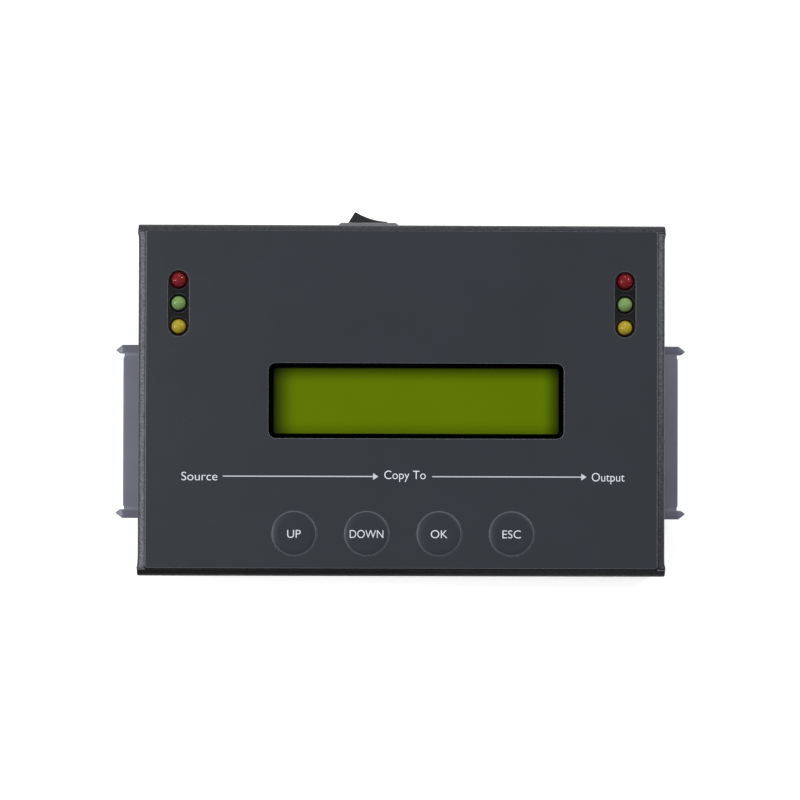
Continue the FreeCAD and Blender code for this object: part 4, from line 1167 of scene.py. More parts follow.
@dataclass
class Base:
    """Base plate with its vents, four rubber feet and four pan-head screws."""

    plate_corner: float = 3.0
    plate_edge: float = 0.2
    vent_count: int = 5
    vent_pitch: float = 7.0
    vent_size: tuple[float, float] = (26.0, 2.0)
    vent_corner: float = 0.9
    lip_corner: float = 0.35
    lip_edge: float = 0.2
    lip_sink: float = 0.1
    vent_middle: tuple[float, float] = (-22.0, -12.0)
    sheet: float = 1.0
    screw_hole: float = 1.7
    foot_width: float = 10.0
    foot_corner: float = 1.9
    foot_taper: float = 0.9
    foot_edges: tuple[float, float] = (0.35, 0.05)
    head_radius: float = 2.7
    shank_radius: float = 1.5
    shank_length: float = 4.0
    crown_radius: float = 1.75
    crown_start: float = 1.7
    rim_share: float = 0.45
    cross_arm: float = 1.25
    cross_half: float = 0.3
    cross_corner: float = 0.16
    cross_depth: float = 0.9

    def spots(self, node: str, width: float) -> list[Array]:
        """Middles of four like pieces of one node, from the node's box and one piece's width.

        Args:
            node: The node's name.
            width: Width of one piece.

        Returns:
            Four middles in plan.
        """
        box = Box.of(node)
        reach = box.size[:2] / 2 - width / 2
        return [box.centre[:2] + reach * (sx, sy) for sx in (-1, 1) for sy in (-1, 1)]

    def screw_spots(self) -> list[Array]:
        """Middles of the four screws."""
        return self.spots("cover_screws", 2 * self.head_radius)

    def add_plate(self) -> None:
        """Base plate, and the lip below each socket."""
        box = Box.of("base_plate")
        case = Box.of("top_cover")
        low = box.low[2]
        high = low + self.sheet
        middle = box.centre[:2]
        rings = edge_rings(high, low, self.plate_edge, self.plate_edge, 3)
        outline = stacked(rounded_box(middle, box.size[:2], self.plate_corner), rings)
        offsets = (np.arange(self.vent_count) - (self.vent_count - 1) / 2) * self.vent_pitch
        first = np.array(self.vent_middle) + (0, case.centre[1])
        loops = [rounded_box(first + (0, offset), self.vent_size, self.vent_corner, 6)
                 for offset in offsets]
        loops += [circle(self.screw_hole, spot, 24) for spot in self.screw_spots()]
        socket = Box.of("drive_socket_right")
        shells = [moulding(outline, through(loops, rings))]
        for sign in (-1, 1):
            lip = rounded_box((sign * (box.high[0] - self.sheet / 2), socket.centre[1]),
                              (self.sheet, socket.size[1]), self.lip_corner, 3)
            soft = edge_rings(box.high[2], high - self.lip_sink, self.lip_edge, 0.02, 3)
            shells.append(moulding(stacked(lip, soft)))
        add_piece("base_sheet", joined(shells), Finishes.paint, replaces=["base_plate"])

    def add_feet(self) -> None:
        """Square feet, tapered towards the table and softly rounded at their edges."""
        box = Box.of("rubber_feet")
        height = box.size[2]
        shells = []
        for spot in self.spots("rubber_feet", self.foot_width):
            square = rounded_box((0, 0), (self.foot_width, self.foot_width), self.foot_corner)
            soft = edge_rings(height, 0, *self.foot_edges, 5)
            soft[:, 0] += self.foot_taper * soft[:, 1] / height
            shells.append(moulding(stacked(square, soft)).placed((*spot, box.high[2]), Facing.DOWN))
        add_piece("stick_on_feet", joined(shells), Finishes.rubber, replaces=["rubber_feet"])

    def add_screws(self) -> None:
        """Pan heads with a cross recess, each on its shank."""
        box = Box.of("cover_screws")
        plate = Box.of("base_plate").low[2]
        height = plate - box.low[2]
        flat, rim = self.crown_radius, self.rim_share
        head = [(flat + (self.head_radius - flat) * math.sin(turn),
                 height * (rim + (1 - rim) * math.cos(turn))) for turn in quarter_turn(5)]
        rows = [(self.crown_start, height)] + head + [(self.head_radius, 0.0), (self.shank_radius, 0.0),
                                                      (self.shank_radius, -self.shank_length)]
        rings = np.stack([ring_at(circle(radius, steps=32), level) for radius, level in rows])
        arm, half = self.cross_arm, self.cross_half
        quarter = [(arm, -half), (arm, half), (half, half)]
        corners = [(x * c - y * s, x * s + y * c) for c, s in ((1, 0), (0, 1), (-1, 0), (0, -1))
                   for x, y in quarter]
        cross = rounded_polygon(corners, self.cross_corner, 3)[::-1]
        recess = np.array([(0.1, height), (0.04, height - 0.04), (0, height - 0.1),
                           (-0.05, height - self.cross_depth)])
        shell = moulding(rings, [Cut(stacked(cross, recess), floor=True)])
        shells = [shell.placed((*spot, plate), Facing.DOWN) for spot in self.screw_spots()]
        add_piece("pan_head_screws", joined(shells), Finishes.screw,
                  replaces=["cover_screws"])

    def build(self) -> None:
        """Makes the base's pieces."""
        self.add_plate()
        self.add_feet()
        self.add_screws()


# ---- Keys ------------------------------------------------------------------------------------------------
@dataclass
class Keys:
    """Four round keys: a crowned cap, a square flange under the cover, and a stem down to the switch."""

    names = ("up", "down", "ok", "esc")
    words = ("UP", "DOWN", "OK", "ESC")
    word_widths = (3.8, 9.5, 4.7, 5.2)
    cap_height: float = 2.3
    radius: float = 6.45
    edge: float = 0.22
    roll: float = 1.9
    roll_drop: float = 0.34
    roll_power: float = 2.2
    steps: int = 96
    stem_width: float = 4.4
    cover_sheet: float = 1.0
    flange_thickness: float = 1.0
    chamfer: float = 0.1
    word_drop: float = 0.1

    def squares(self, half: float, level: float, steps: int) -> Array:
        """Ring on a square: its reach at an angle is half its width over the greater of cosine and sine."""
        ring = circle(1, steps=steps)
        return ring_at(ring / np.abs(ring).max(1, keepdims=True) * half, level)

    def shell(self, box: Box) -> Shell:
        """One key's surface: crown, rolled edge, side, flange and stem as one stack of rings.

        The crown falls away towards its edge as a power of the radius, then turns down through a small
        round.

        Args:
            box: The node's box.

        Returns:
            The key's closed surface.
        """
        steps, chamfer = self.steps, self.chamfer
        top = box.high[2]
        cover = Box.of("top_cover").high[2] - self.cover_sheet
        inner = self.radius - self.edge
        radii = np.concatenate([[0.4, 2.0, 3.5], np.linspace(inner - self.roll, inner, 9)])
        share = np.maximum(radii - (inner - self.roll), 0) / self.roll
        heights = top - self.roll_drop * share ** self.roll_power
        side = quarter_round(self.radius, top - self.roll_drop, self.edge)[1:]
        rows = np.vstack([np.stack([radii, heights], 1), side, (self.radius, cover)])
        rings = [ring_at(circle(radius, steps=steps), level) for radius, level in rows]
        half = box.size[0] / 2
        low = cover - self.flange_thickness
        for reach, level in ((half - chamfer, cover), (half, cover - chamfer), (half, low + chamfer),
                             (half - chamfer, low), (self.stem_width / 2, low),
                             (self.stem_width / 2, box.low[2])):
            rings.append(self.squares(reach, level, steps))
        made = lofted(np.stack(rings))
        # The rolled edge and side take the pale rim colour, a painted highlight where the key's edge
        # catches the light.
        first = len(radii) - 1
        made.marks[first * steps:(len(rows) - 1) * steps] = 1
        return made.placed((*box.centre[:2], 0.0))

    def build(self) -> None:
        """Makes each key and the word on it."""
        for name, word, width in zip(self.names, self.words, self.word_widths):
            box = Box.of(f"key_{name}")
            body = f"{name}_key"
            add_piece(f"cap_{name}", self.shell(box), Finishes.key, body, [f"key_{name}"])
            line = Lettering(word, box.centre[0], box.centre[1] - self.word_drop, box.high[2],
                             self.cap_height, width)
            line.build(f"word_{name}", body, "key_plastic")


@dataclass
class Lettering:
    """One printed word: a flat, very thin mesh made from Blender's own typeface."""

    text: str
    x: float
    y: float
    z: float
    cap_height: float
    width: float
    thickness: float = 0.02
    weight: float = -0.008
    capital_share: float = 0.695

    def build(self, name: str, body: str, slot: str) -> None:
        """Makes the word, scaled to its width and the height of its capitals, centred on its place.

        Args:
            name: The piece's name.
            body: The body that it moves with.
            slot: Not used.
        """
        curve = bpy.data.curves.new(name + "_type", "FONT")
        curve.body = self.text
        curve.extrude = 1.0
        curve.offset = self.weight
        curve.resolution_u = 6
        holder = add_object(name + "_type", curve)
        bpy.context.view_layer.update()
        mesh = bpy.data.meshes.new_from_object(holder.evaluated_get(bpy.context.evaluated_depsgraph_get()))
        bpy.data.objects.remove(holder)
        bpy.data.curves.remove(curve)
        points = np.zeros(len(mesh.vertices) * 3, np.float32)
        mesh.vertices.foreach_get("co", points)
        points = points.reshape(-1, 3).astype(float)
        low, high = points.min(0), points.max(0)
        cap = self.capital_share
        scale = np.array([self.width / (high[0] - low[0]), self.cap_height / cap, self.thickness / 2])
        offset = np.array([(low[0] + high[0]) / 2, cap / 2, -1.0])
        points = (points - offset) * scale + (self.x, self.y, self.z - self.thickness / 4)
        mesh.vertices.foreach_set("co", (points * MM).astype(np.float32).ravel())
        mesh.name = name
        mesh.materials.clear()
        mesh.materials.append(Finishes.ink.material())
        mesh.update()
        made = add_object(name, mesh)
        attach(made, body)
        LOG.info("word %s on %s", name, body)


@dataclass
class Legend:
    """Plain process legend on the film: three words with an arrow between each two."""

    panel: Panel
    line: float = -21.6
    words = (("Source", -62.5, -52.3, 0.0), ("Copy To", -4.9, 6.85, 0.5), ("Output", 54.1, 63.4, 0.0))
    arrows = ((-50.75, -6.6), (8.7, 52.6))
    cap_height: float = 2.44
    stroke: float = 0.3
    head: tuple[float, float] = (1.5, 1.95)
    ink_height: float = 0.015
    ink_sink: float = 0.005

    def build(self) -> None:
        """Makes the words and the arrows."""
        middle, top = self.panel.middle, self.panel.film.high[2]
        level = middle[1] + self.line
        for index, (text, left, right, rise) in enumerate(self.words):
            word = Lettering(text, (left + right) / 2, level + rise, top, self.cap_height, right - left)
            word.build(f"legend_word_{index + 1}", HOUSING, "film")
        for index, (tail, tip) in enumerate(self.arrows):
            length, half = self.head[0], self.head[1] / 2
            thin = self.stroke / 2
            outline = np.array([(tail, -thin), (tip - length, -thin), (tip - length, -half), (tip, 0),
                                (tip - length, half), (tip - length, thin), (tail, thin)]) + (0, level)
            rings = np.array([(0, top + self.ink_height), (0, top - self.ink_sink)])
            arrow = moulding(stacked(outline, rings))
            add_piece(f"legend_arrow_{index + 1}", arrow, Finishes.line_ink)


# ---- Lamps -----------------------------------------------------------------------------------------------
@dataclass(frozen=True)
class LampTint:
    """Colours of one lamp: its diffusing core, and the tinted resin round it."""

    core: Colour
    resin: Colour


@dataclass
class Lamps:
    """Six five-millimetre lamps: a tinted dome over a paler diffusing core, with two legs."""

    panel: Panel
    colours = ("red", "green", "yellow")
    tints = {"red": LampTint(linear(160, 2, 24), linear(84, 0, 8)),
             "green": LampTint(linear(186, 232, 140), linear(16, 40, 10)),
             "yellow": LampTint(linear(255, 232, 50), linear(58, 44, 0))}
    core_share: float = 0.79
    core_steps: int = 32
    core_drop: float = 0.9
    core_lift: float = 0.4
    foot: float = 0.15
    leg_width: float = 0.5
    leg_pitch: float = 2.54
    leg_lift: float = 0.3

    def dome(self, radius: float, top: float, base: float) -> Array:
        """Rows of radius and height of a hemisphere on a straight body, from pole to pole.

        Args:
            radius: Radius of the hemisphere and the body.
            top: Height of the upper pole.
            base: Height of the body's foot.

        Returns:
            Rows of radius and height.
        """
        turn = quarter_turn(13)
        cap = np.stack([radius * np.sin(turn), top - radius + radius * np.cos(turn)], 1)
        return np.vstack([cap, (radius, base + self.foot), (radius - self.foot, base), (0, base)])

    def build(self) -> None:
        """Makes each lamp as a resin dome, a core and its legs."""
        board = Box.of("panel_board").high[2]
        for colour, pair in self.panel.lamp_centres().items():
            box, tint = Box.of(f"leds_{colour}"), self.tints[colour]
            radius = box.size[1] / 2
            base = Box.of("lamp_spacers").high[2]
            resin = replace(Finishes.resin, name=f"{colour}_resin", colour=tint.resin)
            core = replace(Finishes.core, name=f"{colour}_core", colour=tint.core)
            for side, centre in zip(("left", "right"), pair):
                shell = revolved(self.dome(radius, box.high[2], base)).placed((*centre, 0.0))
                add_piece(f"lamp_{colour}_{side}", shell, resin, replaces=[f"leds_{colour}"])
                inner = radius * self.core_share
                core_top = box.high[2] - (radius - inner) * self.core_drop
                heart = revolved(self.dome(inner, core_top, base + self.core_lift), self.core_steps)
                add_piece(f"lamp_core_{colour}_{side}", heart.placed((*centre, 0.0)), core)
                rings = edge_rings(base + self.leg_lift, board, 0.04, 0.04, 2, 0.02)
                legs = []
                for sign in (-1, 1):
                    square = rounded_box(centre + (sign * self.leg_pitch / 2, 0),
                                         (self.leg_width, self.leg_width), 0.1, 2)
                    legs.append(moulding(stacked(square, rings)))
                add_piece(f"lamp_legs_{colour}_{side}", joined(legs), Finishes.steel)


# ---- Display ---------------------------------------------------------------------------------------------
@dataclass
class Display:
    """Character display: its cell behind the black frame."""

    panel: Panel
    view: tuple[float, float] = (81.2, 18.7)
    shades = (Shade(0, -1, -1.2, 7.0, 0.1), Shade(0, 1, 0.2, 4.9, 0.3),
              Shade(1, 1, -1.3, 4.7, 0.22), Shade(1, -1, -1.5, 4.0, 0.55))

    def build(self) -> None:
        """Dresses the display's own nodes."""
        cell = replace(Finishes.cell, middle=tuple(self.panel.display.centre[:2]),
                       half=tuple(np.array(self.view) / 2), shades=self.shades)
        dress({"display_glass": cell, "display_bezel": Finishes.black_frame})


# ---- Drive sockets ---------------------------------------------------------------------------------------
@dataclass
class DriveSocket:
    """Moulded drive socket with two keyed wells, sprung contacts and a pointed guide post at each end."""

    side: str
    body_half: float = 22.0
    half_height: float = 2.6
    mouth: float = 80.43
    root: float = 71.6
    inner_end: float = 67.2
    corner: float = 1.0
    rim: float = 0.12
    post_width: float = 2.5
    post_gap: float = 0.6
    post_reach: float = 2.17
    tip_inset: float = 0.92
    post_levels = (0, 0.05, 0.2, 0.5, 1.05, 1.25, 1.5, 1.9, 2.15, 3.0)
    inner_levels = (0, 0.05, 1.05, 1.25)
    outer_levels = (0, 0.05, 1.9, 2.15)
    web_setback: float = 0.28
    well_depth: float = 6.2
    well_half: float = 1.2
    power_width: float = 20.57
    signal_width: float = 10.41
    well_gap: float = 2.4
    key_width: float = 1.2
    key_drop: float = 1.1
    pitch: float = 1.27
    power_count: int = 15
    signal_count: int = 7
    contact_width: float = 0.7
    contact_thickness: float = 0.25
    contact_bow: float = 0.45
    contact_steps: int = 12
    contact_setback: float = 0.8
    well_corner: float = 0.2
    well_edge: float = 0.08
    section_corner: float = 0.25
    web_corner: float = 0.3
    web_edge: float = 0.1
    web_sink: float = 0.01

    @property
    def facing(self) -> Facing:
        """Way that the mouth looks."""
        return Facing.RIGHT if self.side == "right" else Facing.LEFT

    @property
    def origin(self) -> tuple[float, float, float]:
        """Where the socket's own middle lies; its c axis is measured from the case's middle plane."""
        box = Box.of(f"drive_socket_{self.side}")
        return (0.0, box.centre[1], box.centre[2])

    def wells(self) -> list[tuple[float, float, int]]:
        """Middle, width and key side of the power well and the signal well, along the socket.

        Returns:
            Middle, width and key side of each well.
        """
        total = self.power_width + self.well_gap + self.signal_width
        return [(-total / 2 + self.power_width / 2, self.power_width, -1),
                (total / 2 - self.signal_width / 2, self.signal_width, 1)]

    def well(self, middle: float, width: float, key_side: int) -> Cut:
        """Well for one tongue: a slot with a short leg at its keyed end, which makes it L-shaped.

        Args:
            middle: Middle of the slot along the socket.
            width: Length of the slot.
            key_side: Which end has the short leg.

        Returns:
            The blind cut.
        """
        near, far = middle + key_side * width / 2, middle - key_side * width / 2
        leg = near - key_side * self.key_width
        foot = -self.well_half - self.key_drop
        corners = [(near, foot), (leg, foot), (leg, -self.well_half), (far, -self.well_half),
                   (far, self.well_half), (near, self.well_half)]
        loop = rounded_polygon(corners, self.well_corner, 3)
        clockwise = loop if key_side > 0 else loop[::-1]
        rings = well_rings(self.mouth, self.mouth - self.well_depth, self.well_edge, 3, 0.03)
        return Cut(stacked(clockwise, rings), floor=True)

    def body(self) -> Shell:
        """Block with round ends in plan and small rounds above and below, hollowed by its wells.

        Near the mouth each section's half length is cut by a quarter circle of the corner's radius, and its
        half height by one of the rim's.

        Returns:
            The body's closed surface.
        """
        turn = quarter_turn(8)
        depth = self.corner * (1 - np.cos(turn))
        cut_a = self.corner * (1 - np.sin(turn))
        share = np.clip(depth / self.rim, 0, 1)
        cut_b = self.rim * (1 - np.sqrt(1 - (1 - share) ** 2))
        rows = [(cut_a[0] + 0.03, cut_b[0] + 0.03, self.mouth)]
        rows += list(zip(cut_a, cut_b, self.mouth - depth))
        rows += [(0.0, 0.0, self.root), (0.0, 0.0, self.inner_end)]
        rings = [ring_at(rounded_box((0, 0), (2 * (self.body_half - a), 2 * (self.half_height - b)),
                                     self.section_corner, 4), level) for a, b, level in rows]
        return moulding(np.stack(rings), [self.well(*well) for well in self.wells()])

    def post(self, sign: int) -> Shell:
        """Guide post: sections along its length, narrowing from both sides to a rounded point.

        Args:
            sign: Which end of the socket it stands at.

        Returns:
            The post's closed surface.
        """
        tip = self.mouth + self.post_reach
        inner, outer = self.body_half + self.post_gap, self.body_half + self.post_gap + self.post_width
        levels = tip - np.array([*self.post_levels, tip - self.root])
        point = inner + self.tip_inset
        past = tip - levels
        near = np.interp(past, self.inner_levels, [point - 0.02, point - 0.07, inner + 0.05, inner])
        far = np.interp(past, self.outer_levels, [point + 0.08, point + 0.16, outer - 0.04, outer])
        high = np.interp(past, self.outer_levels, [1.6, 1.75, self.half_height - 0.03, self.half_height])
        rings = [ring_at(rounded_box((sign * (a + b) / 2, 0), (b - a, 2 * c), min(0.2, (b - a) / 3), 3),
                         level) for a, b, c, level in zip(near, far, high, levels)]
        return lofted(np.stack(rings))

    def web(self, sign: int) -> Shell:
        """Filling between the body and one post, which leaves a shallow notch at the mouth.

        Args:
            sign: Which end of the socket it stands at.

        Returns:
            The web's closed surface.
        """
        near = self.body_half - self.corner - 0.2
        far = self.body_half + self.post_gap + self.post_width / 2
        size = (far - near, 2 * (self.half_height - self.web_sink))
        outline = rounded_box((sign * (near + far) / 2, 0), size, self.web_corner, 4)
        rings = edge_rings(self.mouth - self.web_setback, self.inner_end, self.web_edge, self.web_edge, 3)
        return moulding(stacked(outline, rings))

    def contacts(self) -> Shell:
        """Contact blades: strips that rise over a smooth bump and fall again towards the mouth.

        Returns:
            All blades, as one shell.
        """
        blades = []
        start = self.mouth - self.well_depth
        along = np.linspace(0, 1, self.contact_steps)
        level = start + along * (self.well_depth - self.contact_setback)
        rise = self.contact_bow * np.sin(np.pi * np.clip(along * 1.05 - 0.05, 0, 1)) ** 2
        corners = np.array([(-1, 0), (1, 0), (1, 1), (-1, 1)], float)
        for (middle, _, _), count in zip(self.wells(), (self.power_count, self.signal_count)):
            for index in range(count):
                place = middle + (index - (count - 1) / 2) * self.pitch
                rings = np.zeros((len(along), 4, 3))
                rings[:, :, 0] = place + corners[:, 0] * self.contact_width / 2
                rings[:, :, 1] = rise[:, None] + corners[:, 1] * self.contact_thickness - self.well_half
                rings[:, :, 2] = level[:, None]
                blades.append(lofted(rings[::-1]))
        return joined(blades)

    def build(self) -> None:
        """Makes the moulding and its contacts."""
        shell = joined([self.body()] + [part(sign) for part in (self.post, self.web) for sign in (-1, 1)])
        add_piece(f"socket_moulding_{self.side}", shell.placed(self.origin, self.facing), Finishes.socket,
                  replaces=[f"drive_socket_{self.side}"])
        add_piece(f"contact_blades_{self.side}", self.contacts().placed(self.origin, self.facing),
                  Finishes.gold, replaces=[f"socket_contacts_{self.side}"])


# ---- Rear fittings ---------------------------------------------------------------------------------------
@dataclass
class PowerSwitch:
    """Snap-in rocker switch on the rear wall."""

    proud: float = 1.2
    bezel_slope: tuple[float, float] = (0.82, 0.62)
    bezel_corner: float = 0.9
    body_corner: float = 0.4
    body_size: tuple[float, float] = (14.8, 10.2)
    body_depth: float = 14.5
    well_size: tuple[float, float] = (13.2, 7.8)
    well_depth: float = 9.0
    well_corner: float = 0.5
    well_edge: float = 0.25
    pivot_drop: float = 1.0
    tilt: float = 17.0
    chord_half: float = 4.9
    chord_height: float = 2.98
    dish_radius: float = 18.8
    dish_margin: float = 0.75
    dish_steps: int = 25
    draft: float = 15.0
    belly_round: float = 0.6
    side_edge: float = 0.28
    depth: float = 2.6
    hub: float = 2.4
    width: float = 7.4
    pin_radius: float = 1.1
    pin_length: float = 0.9

    def add_housing(self) -> None:
        """Bezel with a sloped outer edge, the well that the rocker sits in, and the body in the case."""
        box = Box.of("switch_housing")
        front = self.proud
        size = (box.size[0], box.size[2])
        bezel = rounded_box((0, 0), size, self.bezel_corner, 6)
        back = rounded_box((0, 0), self.body_size, self.body_corner, 6)
        reach, fall = self.bezel_slope
        slope = [(reach + 0.06, front), (reach, front - 0.01), (reach - 0.06, front - 0.05),
                 (0.05, front - fall + 0.03), (0, front - fall - 0.05), (0, 0)]
        flat = stacked(bezel, np.array(slope))
        behind = [ring_at(back, level) for level in (0.0, -self.body_depth)]
        well = rounded_box((0, 0), self.well_size, self.well_corner, 5)[::-1]
        rings = well_rings(front, front - self.well_depth, self.well_edge, 4)
        cut = Cut(stacked(well, rings), floor=True)
        shell = moulding(np.concatenate([flat, np.stack(behind)]), [cut])
        origin = (box.centre[0], box.high[1] - self.proud, box.centre[2])
        add_piece("switch_bezel", shell.placed(origin, Facing.REAR), Finishes.bezel,
                  replaces=["switch_housing"])

    def rocker_outline(self) -> Array:
        """Side view of the rocker: a dished top between two tips, drafted ends, and a round belly.

        The dish is a circle's arc, so its depth at a distance from the middle is the sagitta that is left.

        Returns:
            Points of the outline, turned to the rocker's tilt at rest.
        """
        chord, half = self.chord_height, self.chord_half
        waist = -self.depth / 2
        foot = half + (chord - waist) * math.tan(math.radians(self.draft))
        corners = [(-foot, waist), (-self.hub, -self.depth), (self.hub, -self.depth), (foot, waist),
                   (half, chord), (-half, chord)]
        loop = rounded_polygon(corners, self.belly_round, 5)
        reach = half - self.dish_margin
        dish = ring_at(np.linspace(reach, -reach, self.dish_steps)[:, None], chord)
        loop = np.vstack([loop[:30], dish, loop[30:]])
        sag = self.dish_radius - math.sqrt(self.dish_radius ** 2 - half ** 2)
        depth = sag - (self.dish_radius - np.sqrt(self.dish_radius ** 2 - loop[:, 0] ** 2))
        loop[:, 1] -= np.where(loop[:, 1] > 0, np.maximum(depth, 0), 0)
        turn = math.radians(-self.tilt)
        spin = np.array([[math.cos(turn), math.sin(turn)], [-math.sin(turn), math.cos(turn)]])
        return loop @ spin

    def add_rocker(self) -> None:
        """Rocker with softened sides, and the two pins that it turns on."""
        box = Box.of("switch_housing")
        pivot = (box.centre[0], box.high[1] - self.pivot_drop, box.centre[2])
        half = self.width / 2
        rings = edge_rings(half, -half, self.side_edge, self.side_edge, 5, 0.05)
        body = moulding(stacked(self.rocker_outline(), rings))
        pins = []
        for sign in (-1, 1):
            low, high = sorted((sign * (half - 0.3), sign * (half + self.pin_length)))
            pin = [(0, high), (self.pin_radius, high), (self.pin_radius, low), (0, low)]
            pins.append(revolved(pin, 24))
        shell = joined([body] + pins).placed(pivot)
        add_piece("rocker_cap", shell, Finishes.rocker, "power_rocker", ["rocker"])

    def build(self) -> None:
        """Makes the switch's visible pieces."""
        self.add_housing()
        self.add_rocker()


@dataclass
class PowerJack:
    """Round-nosed power jack: its bore, its centre pin, and the block behind the wall."""

    nose_radius: float = 4.0
    bore_radius: float = 3.2
    bore_depth: float = 9.5
    nose_length: float = 1.1
    lip: float = 0.25
    block_corner: float = 0.5
    tube_gap: float = 0.05
    pin_edge: float = 0.5

    def build(self) -> None:
        """Makes the jack's moulding and its pin."""
        box, pin = Box.of("power_jack"), Box.of("power_jack_pin")
        axis, mouth = pin.centre, box.high[1]
        lip = self.lip
        turn = quarter_turn(4)
        inner = np.stack([self.bore_radius + lip * (1 - np.cos(turn)), -lip * (1 - np.sin(turn))], 1)
        outer = np.stack([self.nose_radius - lip * (1 - np.sin(turn)), -lip * (1 - np.cos(turn))], 1)
        back = -self.bore_depth - 1.0
        rows = np.vstack([(0, -self.bore_depth), (self.bore_radius, -self.bore_depth), inner, outer,
                          (self.nose_radius, back), (0, back)])
        nose = revolved(rows, 64).placed((axis[0], mouth, axis[2]), Facing.REAR)
        front = box.high[1] - self.nose_length
        size = (box.size[0], box.size[2])
        loop = rounded_box((0, 0), size, self.block_corner, 4)
        tube = circle(self.nose_radius - self.tube_gap, (0, axis[2] - box.centre[2]), 48)[::-1]
        depth = front - box.low[1]
        rings = edge_rings(0, -depth, 0.2, 0.1, 3)
        wall = np.array([(0.06, 0), (0, -0.05), (0, back + self.nose_length)])
        block = moulding(stacked(loop, rings), [Cut(stacked(tube, wall), floor=True)])
        block = block.placed((box.centre[0], front, box.centre[2]), Facing.REAR)
        add_piece("jack_moulding", joined([nose, block]), Finishes.black,
                  replaces=["power_jack"])
        radius = pin.size[0] / 2
        tip = np.vstack([(0, pin.high[1]), quarter_round(radius, pin.high[1], self.pin_edge)])
        rows = np.vstack([tip, (radius, pin.low[1]), (0, pin.low[1])])
        post = revolved(rows, 32).placed((axis[0], 0, axis[2]), Facing.REAR)
        add_piece("jack_centre_pin", post, Finishes.nickel, replaces=["power_jack_pin"])


# ---- Nodes that keep their own shape ---------------------------------------------------------------------
def dress(finishes: dict[str, Finish]) -> None:
    """Gives nodes of the frame that keep their shape their finish.

    Args:
        finishes: Finish of each node, by its name.
    """
    for name, finish in finishes.items():
        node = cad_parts[name]
        node.data.materials.clear()
        node.data.materials.append(finish.material())
        LOG.info("node %s: finish %s", name, finish.name)


def dress_inner_parts() -> None:
    """Finishes of what the closed case holds."""
    groups = {
        Finishes.board: ("main_board", "panel_board", "display_board"),
        Finishes.light_guide: ("display_backlight",),
        Finishes.black: ("display_header", "tact_switches", "lamp_spacers", "plunger_up", "plunger_down",
                         "plunger_ok", "plunger_esc"),
        Finishes.nickel: ("panel_standoffs", "board_standoffs", "switch_terminals", "crystal"),
        Finishes.steel: ("panel_screws", "board_screws"),
        Finishes.chip: ("processor", "memory_chip", "flash_chip", "power_transistors"),
        Finishes.ferrite: ("power_inductors",),
        Finishes.aluminium: ("capacitors",),
        Finishes.nylon: ("switch_header", "switch_plug", "terminal_boot", "ribbon_sockets"),
        Finishes.sheath: ("switch_lead",),
        Finishes.flat_cable: ("ribbon_cable",),
    }
    for finish, names in groups.items():
        dress({name: finish for name in names})


# ---- Studio ----------------------------------------------------------------------------------------------
@dataclass(frozen=True)
class Lamp:
    """Soft studio light: its place and size in metres, and its power."""

    name: str
    place: tuple[float, float, float]
    size: float
    power: float


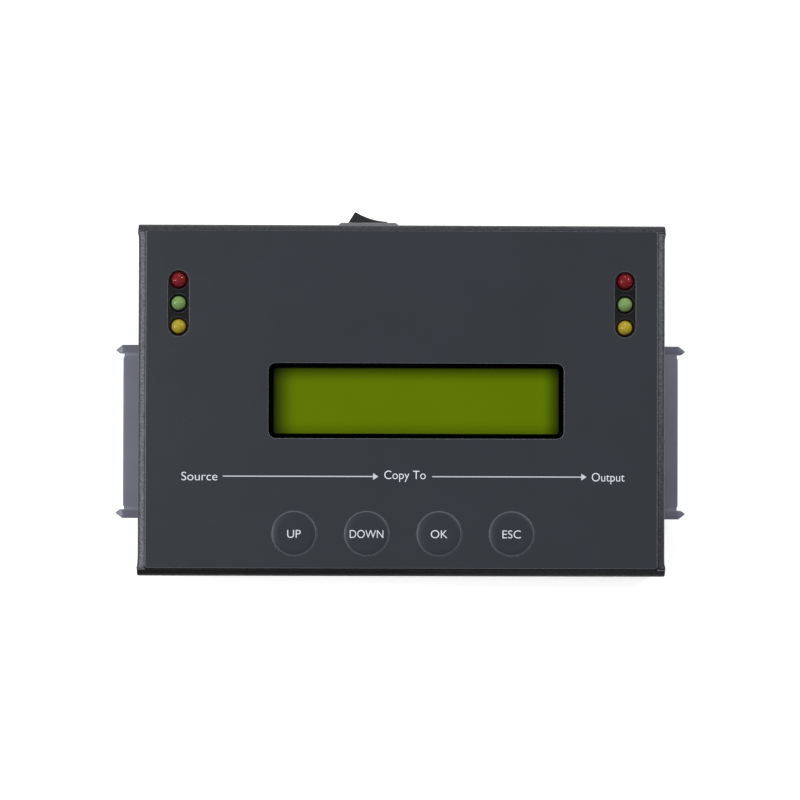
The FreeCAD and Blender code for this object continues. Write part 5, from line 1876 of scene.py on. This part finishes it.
@dataclass
class Studio:
    """Pale floor, white surroundings, soft lights and the camera above the case.

    The camera stands a little to the left and the front of the case's middle, and looks at that middle.
    """

    panel: Panel
    camera_height: float = 0.9
    lens: float = 142.5
    turn: float = 0.18
    offset: tuple[float, float] = (-0.51, 0.16)
    lean: tuple[float, float] = (-0.013, -0.013)
    lamps = (Lamp("light_left", (-1.0, -0.05, 0.83), 0.45, 11.5),
             Lamp("light_high_left", (-0.56, 0.0, 1.25), 0.6, 2.5),
             Lamp("light_right", (0.84, 0.62, 0.8), 0.4, 10.0),
             Lamp("light_rear", (0.0, 1.2, 0.7), 0.5, 5.5))
    world_strength: float = 0.2
    floor_glow: float = 0.52
    floor_reach: float = 6.0

    def seen_directly(self, graph: Graph) -> bpy.types.NodeSocket:
        """1 on rays from the camera and on mirrored or refracted ones, 0 on those that light the object.

        Args:
            graph: The graph that gets the nodes.

        Returns:
            The value's socket.
        """
        path = graph.add("ShaderNodeLightPath").outputs
        direct = graph.math("MAXIMUM", path["Is Camera Ray"], path["Is Glossy Ray"])
        return graph.math("MAXIMUM", direct, path["Is Transmission Ray"])

    def add_world(self) -> None:
        """White surroundings at full strength where they are seen, and softer as light."""
        world = bpy.data.worlds.new("studio")
        world.use_nodes = True
        bpy.context.scene.world = world
        graph = Graph(world.node_tree)
        strength = graph.spread(self.seen_directly(graph), 0.0, 1.0, self.world_strength, 1.0)
        graph.feed(world.node_tree.nodes["Background"], {"Color": (1, 1, 1, 1), "Strength": strength})

    def add_floor(self) -> None:
        """Large white floor that glows a little to the eye, so that it is white and keeps soft shadows."""
        mesh = bpy.data.meshes.new("floor")
        corners = np.array([(-1, -1, 0), (1, -1, 0), (1, 1, 0), (-1, 1, 0)], float) * self.floor_reach
        mesh.from_pydata(corners.tolist(), [], [(0, 1, 2, 3)])
        floor = add_object("floor", mesh)
        made, graph, shader = new_material("floor_white")
        glow = graph.product(self.seen_directly(graph), self.floor_glow)
        graph.feed(shader, {"Base Color": (0.9, 0.9, 0.9, 1), "Roughness": 0.9, "Specular IOR Level": 0.0,
                            "Emission Color": (1, 1, 1, 1), "Emission Strength": glow})
        mesh.materials.append(made)

    def add_lights(self) -> None:
        """Square area lights that look at the case."""
        for lamp in self.lamps:
            data = bpy.data.lights.new(lamp.name, "AREA")
            data.shape = "SQUARE"
            data.size = lamp.size
            data.energy = lamp.power
            light = add_object(lamp.name, data)
            light.location = lamp.place
            light.rotation_mode = "QUATERNION"
            light.rotation_quaternion = (-Vector(lamp.place)).to_track_quat("-Z", "Y")
            light.visible_camera = False

    def add_camera(self) -> None:
        """Camera straight above the case, looking down, with the rear of the case at the top."""
        data = bpy.data.cameras.new("camera")
        data.lens = self.lens
        data.clip_start, data.clip_end = 0.05, 20.0
        camera = add_object("camera", data)
        middle = (self.panel.middle + self.offset) * MM
        target = Vector((*middle, self.panel.case.high[2] * MM))
        away = Vector((*self.lean, self.camera_height))
        camera.location = target + away
        camera.rotation_mode = "QUATERNION"
        roll = Quaternion((0, 0, 1), math.radians(self.turn))
        camera.rotation_quaternion = Vector((0, 0, 1)).rotation_difference(away) @ roll
        bpy.context.scene.camera = camera

    def build(self) -> None:
        """Makes the surroundings."""
        self.add_world()
        self.add_floor()
        self.add_lights()
        self.add_camera()
        bpy.context.scene.view_settings.view_transform = "Standard"


def main() -> None:
    """Builds every sub-assembly in order."""
    logging.basicConfig(level=logging.INFO, format="%(message)s")
    for make in (make_grain, make_mottle, make_rim, make_gloss):
        make()
    panel = Panel()
    for part in (Cover(panel), Film(panel), Base(), Keys(), Legend(panel), Lamps(panel), Display(panel),
                 DriveSocket("right"), DriveSocket("left"), PowerSwitch(), PowerJack()):
        part.build()
    dress_inner_parts()
    Studio(panel).build()


if __name__ == "__main__":
    main()
